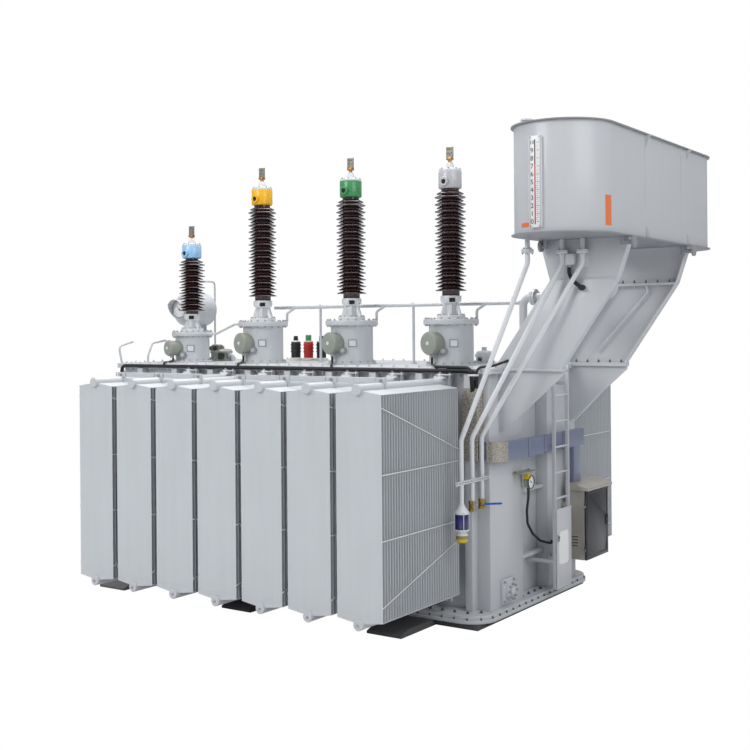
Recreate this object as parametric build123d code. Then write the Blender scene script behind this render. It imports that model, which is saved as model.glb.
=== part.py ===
from build123d import *
import os
from math import cos, radians, sin, sqrt

# Oil-immersed power transformer of the 110 kV class, in millimetres.
# The origin is on the ground under the middle of the tank, +X points to the oil conservator,
# -Y to the front radiators and +Z up.

# Base and tank
SKID_H = 70
SKID_W = 430
SKID_LEN = 4000
SKID_PITCH = 2000
SKID_SLOPE = 130
SKID_NOSE = 30
BASE_FLANGE_T = 40
TANK_LEN = 5170
TANK_W = 2130
TANK_WALL_H = 2510
END_BOX_D = 150
END_BOX_W = 750
BASE_OUT_X = 85
BASE_OUT_Y = 330
BASE_STEP = 20
BASE_CORNER_R = 300
FRAME_IN_X = 15
FRAME_OUT_Y = 257
STIFF_W = 90
STIFF_D = 110
SHELF_H = 40
SHELF_D = 100
SHELF_LOW_Z = 560
SHELF_HIGH_Z = 1300
TOP_FLANGE_T = 30
COVER_T = 30
COVER_OUT = 85
COVER_CORNER_R = 60

# Radiators, seven on each long side
RAD_COUNT = 7
RAD_ENDS = 290
RAD_AISLE = 75
RIB_INSET = 50
FIN_H = 2155
FIN_T = 10
FIN_PITCH = 46
FIN_COUNT = 32
FIN_Z = 360
RAD_GAP = 248
HEADER_R = 54
HEADER_RISE = 48
HEADER_CAP = 26
GABLE_RISE = 45
GABLE_EDGE = 6
VALVE_SIDE = 180
VALVE_T = 60
VALVE_NECK = 120
TIE_BAR_H = 56
TIE_BAR_T = 12
TIE_SINK = 8
TIE_RUN = 1037
TIE_OVER = 60
STRIP_W = 11
STRIP_T = 6
STRIP_HIGH = (125, 640)
STRIP_LEVELS = (1392, 765)
STRIP_LOW = (133, 570)

# Turrets and bushings
PHASE_IN = 760
PHASE_SHARE = 3 / 11
BUSHING_Y = -300
HV_TURRET = dict(r=258, h=530, flange_r=320, flange_t=30, box_r=128, box_z=255, box_d=115)
HV_BUSHING = dict(base_h=270, flange_r=165, ring_r=120, core_r=102, shed_r=181, small_r=158, plain=76,
                  sheds=14, shed_pitch=82.5, cap_r=134, cap_h=237, stud_h=129)
NEUTRAL_IN = 345
NEUTRAL_TURRET = dict(r=228, h=405, flange_r=275, flange_t=28, box_r=99, box_z=190, box_d=160)
NEUTRAL_BUSHING = dict(base_h=240, flange_r=150, ring_r=108, core_r=84, shed_r=176, small_r=153, plain=58,
                       sheds=9, shed_pitch=77, cap_r=129, cap_h=205, stud_h=115)
TURRET_FOOT = 40
TURRET_FOOT_T = 20
BASE_PLATE_T = 45
BASE_RING_H = 90
BASE_CORE_R = 62
BASE_RIBS = 6
BASE_RIB_T = 26
PLAIN_LOW_SHARE = 0.75
SHED_RIM = 9
SHED_ROOT = 24
SHED_DROP = 14
CAP_ROUND = 22
CAP_PLATE_T = 36
CAP_PLATE_IN = 6
SIGHT_R = 44
SIGHT_OUT = 20
SIGHT_SHARE = 0.32
STUD_R = 22
STUD_NECK_R = 36
STUD_NECK_H = 70
CLAMP_SIDE = 62
PALM_W = 90
PALM_H = 120
PALM_T = 14
PALM_PITCH = 50
PALM_HOLE_R = 7
CT_DOME = 14
CT_TURN = 14
LV_X = (-1250, -1030, -810)
LV_Y = 700
LV_R = 62
LV_H = 330

# Oil conservator and its two leaning supports
CONS_REACH = 1025
CONS_R = 490
CONS_HALF = 1375
CONS_Z = 4044
CONS_H = 1073
CONS_WALL = 10
CONS_PLATE_T = 12
CONS_RIM = 30
SUPPORT_IN = 215
SUPPORT_DEPTH = 110
SUPPORT_WEB = 20
SUPPORT_RIM = 14
FOOT_REACH = 765
FOOT_T = 30
NECK_Z = 3630
NECK_BACK = 390
NECK_AHEAD = 345
HEAD_SKIRT = 36
HEAD_BACK = 495
HEAD_AHEAD = 470
GUSSET_DROP = 620
GUSSET_TOE = 65
CONS_STUBS = ((440, -1, 133, 110), (440, 1, -90, 110), (-400, -1, 135, -60))
CONS_STUB_R = 24
CONS_STUB_H = 62
BLIND_R = 58
BLIND_T = 22
GAUGE_BACK = 60
GAUGE_W = 120
GAUGE_H = 870
GAUGE_T = 30
GAUGE_LIFT = 50

# Small pipes below the conservator, with breather and drain valves
PIPE_R = 25
PIPE_BEND = 140
PIPE_FLANGE_R = 62
PIPE_FLANGE_T = 36
PIPE_FLANGE_DROP = 130
PIPE_STRAIGHT = 250
PIPE_TOPS = ((-420, 500), (-220, 120), (5, 120))
PIPE_IN = 35
PIPE_OUT = (535, 315, 110)
PIPE_BEND_Z = 2005
PIPE_END_Z = 1355
PIPE_BAR_Z = 1574
PIPE_BAR_H = 40
PIPE_BAR_T = 8
PIPE_BAR_OVER = 170
SLOT_L = 34
SLOT_W = 12
SLOT_PITCH = 58
BREATHER_R = 75
BREATHER_CONE_H = 92
BREATHER_GLASS_H = 166
BREATHER_RING_H = 40
BREATHER_CUP_H = 88
BREATHER_CUP_R = 60
COCK_R = 30
COCK_H = 95
LEVER_LEN = 215
LEVER_W = 22
LEVER_T = 8
LEVER_STEM_R = 8
LEVER_STAND = 44
LEVER_FIT = 0.3

# Main oil line and gas line
OIL_IN = 135
OIL_Z = 3490
OIL_R = 45
OIL_BEND = 100
RELAY_REACH = 315
RELAY_LEN = 200
RELAY_SIDE = 190
OIL_BACK = 60
GAS_R = 22
GAS_POST_R = 16
GAS_Z = 3430
GAS_POSTS = (-290, 1120)
GAS_BRANCH = ((205, -60, 0), (205, -60, 105), (300, 0, 180))
GAS_BRANCH_BEND = 45

# Small oil drum of the tap changer on the left of the cover, and two vent pipes
SELECTOR_IN = 565
SELECTOR_Y = 200
SELECTOR_R = 170
SELECTOR_H = 200
DRUM_IN = 95
DRUM_Y = -20
DRUM_Z = 3435
DRUM_R = 222
DRUM_LEN = 405
DRUM_DISH = 62
DRUM_LEG_W = 180
DRUM_LEG_T = 14
DRUM_LEGS = (60, 325)
DRUM_PIPE_R = 13
DRUM_PIPE_Y = (230, 590)
DRUM_PIPE_RISE = 183
EYE_R = 32
EYE_T = 12
EYE_Y = 305
HOOD_R = 138
HOOD_T = 7
HOOD_LEN = 160
DIAL_BODY_T = 48
VENT_R = 14
VENT_BEND = 60
VENT_IN = 85
VENT_WALL_RISE = (220, 280)
VENT_WALL_RUN = (-85, 170)
VENT_COVER_IN = 433
VENT_COVER_RISE = (85, 255, 290)
VENT_COVER_RUN = (85, 340)

# Control cables along the front edge of the cover
TRUNK_R = 22
LEAD_R = 13
LEAD_BEND = 20
LEAD_SWAY = 330
CABLE_LIE = 16
TRUNK_DROP = 390
TRUNK_IN = 55
TRUNK_BEND = 70

# Ladder, cable tray, control cabinet and dial thermometer on the right end
LADDER_STAND = 215
LADDER_Y = 215
LADDER_W = 370
LADDER_Z0 = 200
LADDER_Z1 = 2775
RAIL_D = 40
RAIL_W = 20
RUNG_R = 12
RUNG_PITCH = 290
GUARD_T = 6
GUARD_H = 900
GUARD_CLEAR = 6
KNUCKLE_R = 10
PIN_R = 5
PIN_FIT = 0.3
KNUCKLE_H = 40
HINGE_IN = 150
TRAY_STAND = 105
TRAY_D = 60
TRAY_Z = 1745
TRAY_H = 200
TRAY_IN_FRONT = 55
TRAY_IN_REAR = 95
TRAY_TURN = 60
TRAY_RUN = 180
TRAY_DROP_IN = 110
TRAY_DROP_W = 180
CAB_STAND = 80
CAB_D = 220
CAB_IN = 405
CAB_W = 630
CAB_Z = 430
CAB_H = 805
CAB_WALL = 6
CAB_ROOF_H = 95
CAB_ROOF_OUT = 40
CAB_BRACKET_H = 50
DOOR_T = 20
DOOR_CLEAR = 6
HANDLE_L = 120
HANDLE_W = 24
HANDLE_OUT = 18
HANDLE_IN = 60
DIAL_R = 65
DIAL_T = 60
DIAL_Y = -300
DIAL_Z = 1440
DIAL_SHELF_D = 125
DIAL_SHELF_T = 15
DRAIN_SIDE = 260
DRAIN_T = 40
DRAIN_IN = 335
DRAIN_Z = 320
CABLE_R = 14
CABLE_BEND = 60
CABLE_SAG = ((0, 110), (-40, 255), (-25, 395), (100, 525), (280, 630), (520, 695), (700, 707))

# Levels and planes that several pieces share
FLANGE_Z = SKID_H
WALL_Z = FLANGE_Z + 2 * BASE_FLANGE_T
TANK_TOP = WALL_Z + TANK_WALL_H
COVER_Z = TANK_TOP + TOP_FLANGE_T
COVER_TOP = COVER_Z + COVER_T
TANK_X = TANK_LEN / 2
TANK_Y = TANK_W / 2
BOX_X = TANK_X + END_BOX_D
BOX_Y = TANK_Y - END_BOX_W
FIN_INNER_Y = TANK_Y + RAD_GAP
FIN_OUTER_Y = FIN_INNER_Y + (FIN_COUNT - 1) * FIN_PITCH + FIN_T
FIN_TOP = FIN_Z + FIN_H
RAD_PITCH = (TANK_LEN - RAD_ENDS) / (RAD_COUNT + 1)
FIN_W = RAD_PITCH - RAD_AISLE
RAD_CX = TANK_X - RIB_INSET - RAD_PITCH * RAD_COUNT / 2
RAD_XS = [RAD_CX + (i - (RAD_COUNT - 1) / 2) * RAD_PITCH for i in range(RAD_COUNT)]
PHASE_PITCH = TANK_LEN * PHASE_SHARE
PHASE_CX = TANK_X - PHASE_IN - PHASE_PITCH
NEUTRAL_X = NEUTRAL_IN - TANK_X
PHASE_XS = [PHASE_CX + k * PHASE_PITCH for k in (-1, 0, 1)]
HV_FLANGE_TOP = COVER_TOP + HV_TURRET["h"]
CONS_TOP = CONS_Z + CONS_H
CONS_X = BOX_X + CONS_REACH
GAUGE_X = CONS_X - GAUGE_BACK
FOOT_X1 = BOX_X + FOOT_REACH
NECK_X0, NECK_X1 = CONS_X - NECK_BACK, CONS_X + NECK_AHEAD
HEAD_X0, HEAD_X1 = CONS_X - HEAD_BACK, CONS_X + HEAD_AHEAD
SUPPORT_Y = TANK_Y - SUPPORT_IN
PIPE_DOWN_X = BOX_X - PIPE_IN
PIPE_DOWN_Y = [-TANK_Y - out for out in PIPE_OUT]
OIL_X = BOX_X - OIL_IN
OIL_UP_X = CONS_X - OIL_BACK
RELAY_X = BOX_X + RELAY_REACH
DRUM_X = DRUM_IN - BOX_X
SELECTOR_X = SELECTOR_IN - BOX_X
EDGE_Y = -TANK_Y - COVER_OUT
LADDER_X = BOX_X + LADDER_STAND
TRAY_X = BOX_X + TRAY_STAND
TRAY_Y0, TRAY_Y1 = TRAY_IN_FRONT - TANK_Y, TANK_Y - TRAY_IN_REAR
CAB_X = BOX_X + CAB_STAND
CAB_Y0 = TANK_Y - CAB_IN
TRAY_DROP_Y = CAB_Y0 + TRAY_DROP_IN
DRAIN_Y = DRAIN_IN - TANK_Y
CAB_FRONT = CAB_X + CAB_D
CAB_TOP = CAB_Z + CAB_H


def block(x0, x1, y0, y1, z0, z1):
    """A straight block between two corners."""
    return Pos((x0 + x1) / 2, (y0 + y1) / 2, (z0 + z1) / 2) * Box(x1 - x0, y1 - y0, z1 - z0)


def rod(start, end, radius):
    """A round bar from one point to another."""
    start, end = Vector(*start), Vector(*end)
    line = Plane(origin=start, z_dir=end - start)
    return line * Cylinder(radius, (end - start).length, align=(Align.CENTER, Align.CENTER, Align.MIN))


def disc(x, y, z0, z1, radius):
    """An upright round plate or drum."""
    return rod((x, y, z0), (x, y, z1), radius)


def bent_pipe(points, radius, bend):
    """A pipe of straight runs with tangent bends."""
    path = FilletPolyline(*points, radius=bend)
    section = Plane(origin=path @ 0, z_dir=path % 0) * Circle(radius)
    return sweep(section, path=path)


def turned(profile, x, y, z):
    """A solid of revolution about an upright axis, from (radius, height) points."""
    face = make_face(Polyline(*[(r, 0, h) for r, h in profile], close=True))
    return Pos(x, y, z) * revolve(face, Axis.Z)


def turned_level(profile, x, y, z):
    """A solid of revolution about a level axis along Y, from (radius, depth) points."""
    face = make_face(Polyline(*[(r, d, 0) for r, d in profile], close=True))
    return Pos(x, y, z) * revolve(face, Axis.Y)


def wall_plate(points, y0, y1):
    """A plate in the XZ plane between two Y planes, from (x, z) points."""
    face = make_face(Polyline(*[(x, y0, z) for x, z in points], close=True))
    return extrude(face, amount=y1 - y0, dir=(0, 1, 0))


def end_plate(points, x0, x1):
    """A plate in the YZ plane between two X planes, from (y, z) points."""
    face = make_face(Polyline(*[(x0, y, z) for y, z in points], close=True))
    return extrude(face, amount=x1 - x0, dir=(1, 0, 0))


def rounded_plate(half_x, half_y, corner, z0, z1):
    """A level plate with rounded corners, centred on the tank."""
    return Pos(0, 0, z0) * extrude(RectangleRounded(2 * half_x, 2 * half_y, corner), amount=z1 - z0)


def save(name, solids):
    """Write one node, as one solid or as several that stay apart."""
    shape = solids[0] if len(solids) == 1 else Compound(children=solids)
    export_step(shape, f"parts/{name}.step")


# Base and tank
def base_skids():
    """A flat frame under the tank with three sleds across it, their noses sloped at both ends."""
    half = SKID_LEN / 2
    side = [(-half, 0), (half, 0), (half, SKID_NOSE), (half - SKID_SLOPE, SKID_H),
            (SKID_SLOPE - half, SKID_H), (-half, SKID_NOSE)]
    long, wide = BOX_X - FRAME_IN_X, TANK_Y + FRAME_OUT_Y
    frame = block(-long, long, -wide, wide, 0, SKID_H)
    for x in (-SKID_PITCH, 0, SKID_PITCH):
        frame += end_plate(side, x - SKID_W / 2, x + SKID_W / 2)
    return [frame]


def base_flange():
    return [rounded_plate(BOX_X + BASE_OUT_X, TANK_Y + BASE_OUT_Y, BASE_CORNER_R,
                          FLANGE_Z, FLANGE_Z + BASE_FLANGE_T)]


def tank_flange():
    return [rounded_plate(BOX_X + BASE_OUT_X - BASE_STEP, TANK_Y + BASE_OUT_Y - BASE_STEP,
                          BASE_CORNER_R - BASE_STEP, FLANGE_Z + BASE_FLANGE_T, WALL_Z)]


def tank_body():
    return [block(-TANK_X, TANK_X, -TANK_Y, TANK_Y, WALL_Z, TANK_TOP)]


def tank_end_boxes():
    """Upright box stiffeners at the four corners, which carry the conservator supports."""
    boxes = []
    for x0, x1 in ((TANK_X, BOX_X), (-BOX_X, -TANK_X)):
        boxes += [block(x0, x1, -TANK_Y, -BOX_Y, WALL_Z, TANK_TOP),
                  block(x0, x1, BOX_Y, TANK_Y, WALL_Z, TANK_TOP)]
    return boxes


def tank_stiffeners():
    """Upright box stiffeners in the gaps between the radiators, and level ones across the end recesses."""
    shelves = []
    for z in (SHELF_LOW_Z, SHELF_HIGH_Z):
        shelves.append(block(TANK_X, TANK_X + SHELF_D, -BOX_Y, BOX_Y, z, z + SHELF_H))
        shelves.append(block(-TANK_X - SHELF_D, -TANK_X, -BOX_Y, BOX_Y, z, z + SHELF_H))
    ribs = []
    for k in range(-1, RAD_COUNT + 1):
        x = RAD_CX + (k - RAD_COUNT / 2) * RAD_PITCH
        ribs.append(block(x - STIFF_W / 2, x + STIFF_W / 2, -TANK_Y - STIFF_D, -TANK_Y, WALL_Z, TANK_TOP))
        ribs.append(block(x - STIFF_W / 2, x + STIFF_W / 2, TANK_Y, TANK_Y + STIFF_D, WALL_Z, TANK_TOP))
    return shelves + ribs


def tank_top_flange():
    return [rounded_plate(BOX_X + COVER_OUT, TANK_Y + COVER_OUT, COVER_CORNER_R, TANK_TOP, COVER_Z)]


def tank_cover():
    return [rounded_plate(BOX_X + COVER_OUT, TANK_Y + COVER_OUT, COVER_CORNER_R, COVER_Z, COVER_TOP)]


# Radiators
def radiator(x, side):
    """One bank of flat fins. side is -1 for the front and +1 for the rear."""
    fins = []
    for k in range(FIN_COUNT):
        near = side * (FIN_INNER_Y + k * FIN_PITCH)
        far = near + side * FIN_T
        fins.append(block(x - FIN_W / 2, x + FIN_W / 2, min(near, far), max(near, far), FIN_Z, FIN_TOP))
    return fins


def radiator_headers(side):
    """Collecting pipes over and under the fins, each on a shallow gable that closes the fin ends."""
    headers = []
    start, end = side * (TANK_Y + 2 * VALVE_T), side * (FIN_OUTER_Y + HEADER_CAP)
    y0, y1 = sorted((side * FIN_INNER_Y, side * FIN_OUTER_Y))
    for x in RAD_XS:
        for level, away in ((FIN_TOP, 1), (FIN_Z, -1)):
            z = level + away * HEADER_RISE
            pipe = rod((x, start, z), (x, end, z), HEADER_R)
            low, high = sorted((level, level - away * HEADER_R))
            pipe -= block(x - HEADER_R, x + HEADER_R, min(start, end), max(start, end), low, high)
            edge, ridge = level + away * GABLE_EDGE, level + away * GABLE_RISE
            roof = [(x - FIN_W / 2, level), (x + FIN_W / 2, level), (x + FIN_W / 2, edge), (x, ridge),
                    (x - FIN_W / 2, edge)]
            headers.append(pipe + wall_plate(roof, y0, y1))
    return headers


def radiator_side_ties():
    """Thin strips along both sides of each fin bank: two level, two aslant."""
    levels = [(FIN_TOP - STRIP_HIGH[0], FIN_TOP - STRIP_HIGH[1]), (FIN_Z + STRIP_LOW[0], FIN_Z + STRIP_LOW[1])]
    levels += [(FIN_Z + level, FIN_Z + level) for level in STRIP_LEVELS]
    strips = []
    for x in RAD_XS:
        for x0, x1 in ((x + FIN_W / 2, x + FIN_W / 2 + STRIP_T), (x - FIN_W / 2 - STRIP_T, x - FIN_W / 2)):
            for side in (-1, 1):
                near, far = side * FIN_INNER_Y, side * FIN_OUTER_Y
                for front, back in levels:
                    points = [(far, front), (near, back), (near, back + STRIP_W), (far, front + STRIP_W)]
                    strips.append(end_plate(points, x0, x1))
    return strips


def radiator_valves(side):
    """A square shut-off valve on a neck at each end of a radiator, between pipe and tank wall."""
    valves = []
    for x in RAD_XS:
        for z in (FIN_TOP + HEADER_RISE, FIN_Z - HEADER_RISE):
            valve = Pos(x, side * (TANK_Y + VALVE_T * 1.5), z) * Box(VALVE_SIDE, VALVE_T, VALVE_SIDE)
            neck = Pos(x, side * (TANK_Y + VALVE_T / 2), z) * Box(VALVE_NECK, VALVE_T, VALVE_NECK)
            valves.append(valve + neck)
    return valves


def radiator_tie_bars():
    """Upright flat bars notched to sit on the upper header pipes, which hold the banks together."""
    bars = []
    pipe_z = FIN_TOP + HEADER_RISE
    low = pipe_z + HEADER_R - TIE_SINK
    for side in (-1, 1):
        y = side * (FIN_INNER_Y + TIE_RUN)
        for first, last in ((0, 2), (3, RAD_COUNT - 1)):
            bar = block(RAD_XS[first] - TIE_OVER, RAD_XS[last] + TIE_OVER, y - TIE_BAR_T / 2, y + TIE_BAR_T / 2,
                        low, low + TIE_BAR_H)
            for x in RAD_XS[first:last + 1]:
                bar -= rod((x, y - TIE_BAR_T, pipe_z), (x, y + TIE_BAR_T, pipe_z), HEADER_R)
            bars.append(bar)
    return bars


# Turrets and bushings
def turret(x, size):
    """A drum on a bolted foot ring, with a bolted flange pair at its top."""
    r, h, flange_r, t = size["r"], size["h"], size["flange_r"], size["flange_t"]
    foot = r + TURRET_FOOT
    profile = [(0, 0), (foot, 0), (foot, TURRET_FOOT_T), (r, TURRET_FOOT_T), (r, h - 2 * t),
               (flange_r, h - 2 * t), (flange_r, h), (0, h)]
    return turned(profile, x, BUSHING_Y, COVER_TOP)


def bushing_base(x, z, size):
    """The metal foot of a bushing: a round plate, spread ribs round a core, and a clamping ring."""
    h, plate_r, ring_r = size["base_h"], size["flange_r"], size["ring_r"]
    ring_z = h - BASE_RING_H
    profile = [(0, 0), (plate_r, 0), (plate_r, BASE_PLATE_T), (BASE_CORE_R, BASE_PLATE_T),
               (BASE_CORE_R, ring_z), (ring_r - BASE_RIB_T, ring_z), (ring_r, ring_z + BASE_RIB_T),
               (ring_r, h), (0, h)]
    foot = turned(profile, 0, 0, 0)
    outline = [(0, BASE_PLATE_T), (plate_r - BASE_RIB_T, BASE_PLATE_T), (ring_r - BASE_RIB_T, ring_z),
               (0, ring_z)]
    rib = wall_plate(outline, -BASE_RIB_T / 2, BASE_RIB_T / 2)
    for k in range(BASE_RIBS):
        foot += Rot(0, 0, 360 / BASE_RIBS * k) * rib
    return Pos(x, BUSHING_Y, z) * foot


def porcelain(x, z, size):
    """A shed insulator: wide and narrow drooping sheds in turn on a slim core."""
    pitch, core = size["shed_pitch"], size["core_r"]
    foot = PLAIN_LOW_SHARE * size["plain"]
    profile = [(0, 0), (core, 0)]
    for k in range(2 * size["sheds"]):
        reach = size["shed_r"] if k % 2 == 0 else size["small_r"]
        low = foot + k * pitch / 2 + SHED_DROP
        rim = low - SHED_DROP
        profile += [(core, low), (reach, rim), (reach, rim + SHED_RIM), (core, low + SHED_ROOT)]
    profile += [(core, porcelain_height(size)), (0, porcelain_height(size))]
    return turned(profile, x, BUSHING_Y, z)


def porcelain_height(size):
    """The sheds and the plain core below and above them."""
    return size["sheds"] * size["shed_pitch"] + size["plain"]


def bushing_cap(x, z, size):
    """The coloured head of a bushing: a drum with a round lower edge, a sight glass and a top plate."""
    r, h = size["cap_r"], size["cap_h"]
    drum_h = h - CAP_PLATE_T
    profile = [(0, 0), (r - CAP_ROUND, 0), (r - 0.3 * CAP_ROUND, 0.3 * CAP_ROUND), (r, CAP_ROUND), (r, drum_h),
               (r - CAP_PLATE_IN, drum_h), (r - CAP_PLATE_IN, h), (0, h)]
    sight_z = z + SIGHT_SHARE * h
    sight = rod((x, BUSHING_Y, sight_z), (x, BUSHING_Y - r - SIGHT_OUT, sight_z), SIGHT_R)
    return turned(profile, x, BUSHING_Y, z) + sight


def terminal(x, z, size):
    """A stepped stud and clamp block with a drilled palm, to which a line is bolted."""
    palm_z = z + size["stud_h"]
    stud = disc(x, BUSHING_Y, z, z + STUD_NECK_H, STUD_NECK_R) + disc(x, BUSHING_Y, z, palm_z, STUD_R)
    half = CLAMP_SIDE / 2
    stud += block(x - half, x + half, BUSHING_Y - half, BUSHING_Y + half, palm_z - CLAMP_SIDE / 2, palm_z)
    palm = block(x - PALM_W / 2, x + PALM_W / 2, BUSHING_Y - PALM_T / 2, BUSHING_Y + PALM_T / 2,
                 palm_z, palm_z + PALM_H)
    for dx in (-PALM_PITCH / 2, PALM_PITCH / 2):
        for dz in (-PALM_PITCH / 2, PALM_PITCH / 2):
            hole_z = palm_z + PALM_H / 2 + dz
            palm -= rod((x + dx, BUSHING_Y - PALM_T, hole_z), (x + dx, BUSHING_Y + PALM_T, hole_z), PALM_HOLE_R)
    return stud + palm


def bushing_levels(turret_size, size):
    """Heights where the foot, the porcelain, the cap and the stud of a bushing start."""
    foot = COVER_TOP + turret_size["h"]
    shed = foot + size["base_h"]
    cap = shed + porcelain_height(size)
    return foot, shed, cap, cap + size["cap_h"]


def ct_box(x, size):
    """A round terminal box on the front of a turret, turned a little to the left, with a domed lid."""
    r, depth = size["box_r"], size["box_d"] + size["r"]
    profile = [(0, 0), (r, 0), (r, -depth), (0.8 * r, -depth - 0.6 * CT_DOME), (0.4 * r, -depth - CT_DOME),
               (0, -depth - CT_DOME)]
    box = Rot(0, 0, -CT_TURN) * turned_level(profile, 0, 0, size["box_z"])
    return Pos(x, BUSHING_Y, COVER_TOP) * (box - disc(0, 0, 0, size["h"], size["r"]))


def lv_bushing(x):
    """A short low-voltage bushing on the rear of the cover."""
    profile = [(0, 0), (1.5 * LV_R, 0), (1.5 * LV_R, 0.08 * LV_H), (LV_R, 0.12 * LV_H), (LV_R, 0.8 * LV_H),
               (0.4 * LV_R, 0.84 * LV_H), (0.4 * LV_R, LV_H), (0, LV_H)]
    return turned(profile, x, LV_Y, COVER_TOP)


# Conservator and supports
def stadium(radius, z0, z1):
    return Pos(CONS_X, 0, z0) * extrude(Rot(0, 0, 90) * SlotOverall(2 * (CONS_HALF + radius), 2 * radius),
                                        amount=z1 - z0)


def conservator_shell():
    z0, z1 = CONS_Z + CONS_PLATE_T, CONS_TOP - CONS_PLATE_T
    return [stadium(CONS_R, z0, z1) - stadium(CONS_R - CONS_WALL, z0, z1)]


def conservator_plates():
    """The lid and the floor, which stand out as rims; the floor has drain stubs with blind flanges."""
    floor = stadium(CONS_R + CONS_RIM, CONS_Z, CONS_Z + CONS_PLATE_T)
    for ahead, side, beyond, run in CONS_STUBS:
        x, y, z = CONS_X + ahead, side * (SUPPORT_Y + beyond), CONS_Z - CONS_STUB_H
        floor += disc(x, y, z - CONS_STUB_R, CONS_Z, CONS_STUB_R)
        floor += rod((x, y, z), (x + run, y, z), CONS_STUB_R)
        floor += rod((x + run, y, z), (x + run + BLIND_T, y, z), BLIND_R)
    return [stadium(CONS_R + CONS_RIM, CONS_TOP - CONS_PLATE_T, CONS_TOP), floor]


def oil_level_gauge():
    """A tall scale housing, hollowed at its back to sit on the round end of the shell."""
    z0 = CONS_Z + GAUGE_LIFT
    y_end = -CONS_HALF - CONS_R
    gauge = block(GAUGE_X - GAUGE_W / 2, GAUGE_X + GAUGE_W / 2, y_end - GAUGE_T, y_end + GAUGE_T,
                  z0, z0 + GAUGE_H)
    return [gauge - disc(CONS_X, -CONS_HALF, z0, z0 + GAUGE_H, CONS_R)]


def rimmed_plate(points, y):
    """A web plate on the outer side with a flange along its whole edge that stands to the inner side."""
    face = make_face(Polyline(*[(x, y - SUPPORT_DEPTH / 2, z) for x, z in points], close=True))
    inner = offset(face, amount=-SUPPORT_RIM)
    pocket = extrude(inner, amount=SUPPORT_DEPTH - SUPPORT_WEB, dir=(0, 1, 0))
    body = extrude(face, amount=SUPPORT_DEPTH, dir=(0, 1, 0))
    return body - (Pos(0, SUPPORT_WEB, 0) * pocket if y < 0 else pocket)


def support_gusset(y):
    """A triangular bracket on the tank end, with a bolting flange level with the cover."""
    edge = BOX_X + COVER_OUT
    low = TANK_TOP - GUSSET_DROP
    web = [(BOX_X, TANK_TOP), (edge, TANK_TOP), (edge, COVER_Z), (FOOT_X1, COVER_Z), (FOOT_X1, TANK_TOP),
           (BOX_X + GUSSET_TOE, low), (BOX_X, low)]
    plate = wall_plate(web, y - SUPPORT_WEB / 2, y + SUPPORT_WEB / 2)
    return plate + block(edge, FOOT_X1, y - SUPPORT_DEPTH / 2, y + SUPPORT_DEPTH / 2, COVER_Z, COVER_TOP)


def support_column(y):
    return rimmed_plate([(BOX_X, COVER_TOP), (FOOT_X1, COVER_TOP), (FOOT_X1, COVER_TOP + FOOT_T),
                         (NECK_X1, NECK_Z), (NECK_X0, NECK_Z), (BOX_X, COVER_TOP + FOOT_T)], y)


def support_head(y):
    return rimmed_plate([(NECK_X0, NECK_Z), (NECK_X1, NECK_Z), (HEAD_X1, CONS_Z - HEAD_SKIRT),
                         (HEAD_X1, CONS_Z), (HEAD_X0, CONS_Z), (HEAD_X0, CONS_Z - HEAD_SKIRT)], y)


# Small pipes
def conservator_pipes():
    pipes = []
    for (ahead, beyond), down_y in zip(PIPE_TOPS, PIPE_DOWN_Y):
        x, y = CONS_X + ahead, -SUPPORT_Y - beyond
        route = [(x, y, CONS_Z), (x, y, CONS_Z - PIPE_STRAIGHT), (PIPE_DOWN_X, down_y, PIPE_BEND_Z),
                 (PIPE_DOWN_X, down_y, PIPE_END_Z)]
        flange_z = CONS_Z - PIPE_FLANGE_DROP - PIPE_FLANGE_T / 2
        flange = disc(x, y, flange_z, flange_z + PIPE_FLANGE_T, PIPE_FLANGE_R)
        pipes.append(bent_pipe(route, PIPE_R, PIPE_BEND) + flange)
    return pipes


def pipe_bar():
    """A slotted flat bar from the tank corner, to which the three pipes are clamped."""
    x0, y0 = PIPE_DOWN_X + PIPE_R, PIPE_DOWN_Y[0] - PIPE_BAR_OVER
    bar = block(x0, x0 + PIPE_BAR_T, y0, -TANK_Y, PIPE_BAR_Z - PIPE_BAR_H / 2, PIPE_BAR_Z + PIPE_BAR_H / 2)
    for k in range(int((-TANK_Y - y0) / SLOT_PITCH)):
        y = y0 + (k + 0.5) * SLOT_PITCH
        bar -= block(x0, x0 + PIPE_BAR_T, y - SLOT_L / 2, y + SLOT_L / 2,
                     PIPE_BAR_Z - SLOT_W / 2, PIPE_BAR_Z + SLOT_W / 2)
    return [bar]


BREATHER_GLASS_TOP = PIPE_END_Z - BREATHER_CONE_H
BREATHER_RING_TOP = BREATHER_GLASS_TOP - BREATHER_GLASS_H
BREATHER_CUP_TOP = BREATHER_RING_TOP - BREATHER_RING_H


def breather_fittings():
    """The cone above the glass and the ring below it."""
    profile = [(0, 0), (BREATHER_R, 0), (BREATHER_R, 12), (PIPE_R + 6, BREATHER_CONE_H - 20),
               (PIPE_R + 6, BREATHER_CONE_H), (0, BREATHER_CONE_H)]
    cone = turned(profile, PIPE_DOWN_X, PIPE_DOWN_Y[0], BREATHER_GLASS_TOP)
    profile = [(0, 0), (BREATHER_CUP_R - 8, 0), (BREATHER_CUP_R - 8, 16), (BREATHER_R - 20, 28),
               (BREATHER_R, 28), (BREATHER_R, BREATHER_RING_H), (0, BREATHER_RING_H)]
    return [cone, turned(profile, PIPE_DOWN_X, PIPE_DOWN_Y[0], BREATHER_CUP_TOP)]


def breather_glass():
    return [disc(PIPE_DOWN_X, PIPE_DOWN_Y[0], BREATHER_RING_TOP, BREATHER_GLASS_TOP, BREATHER_R - 2)]


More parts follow.
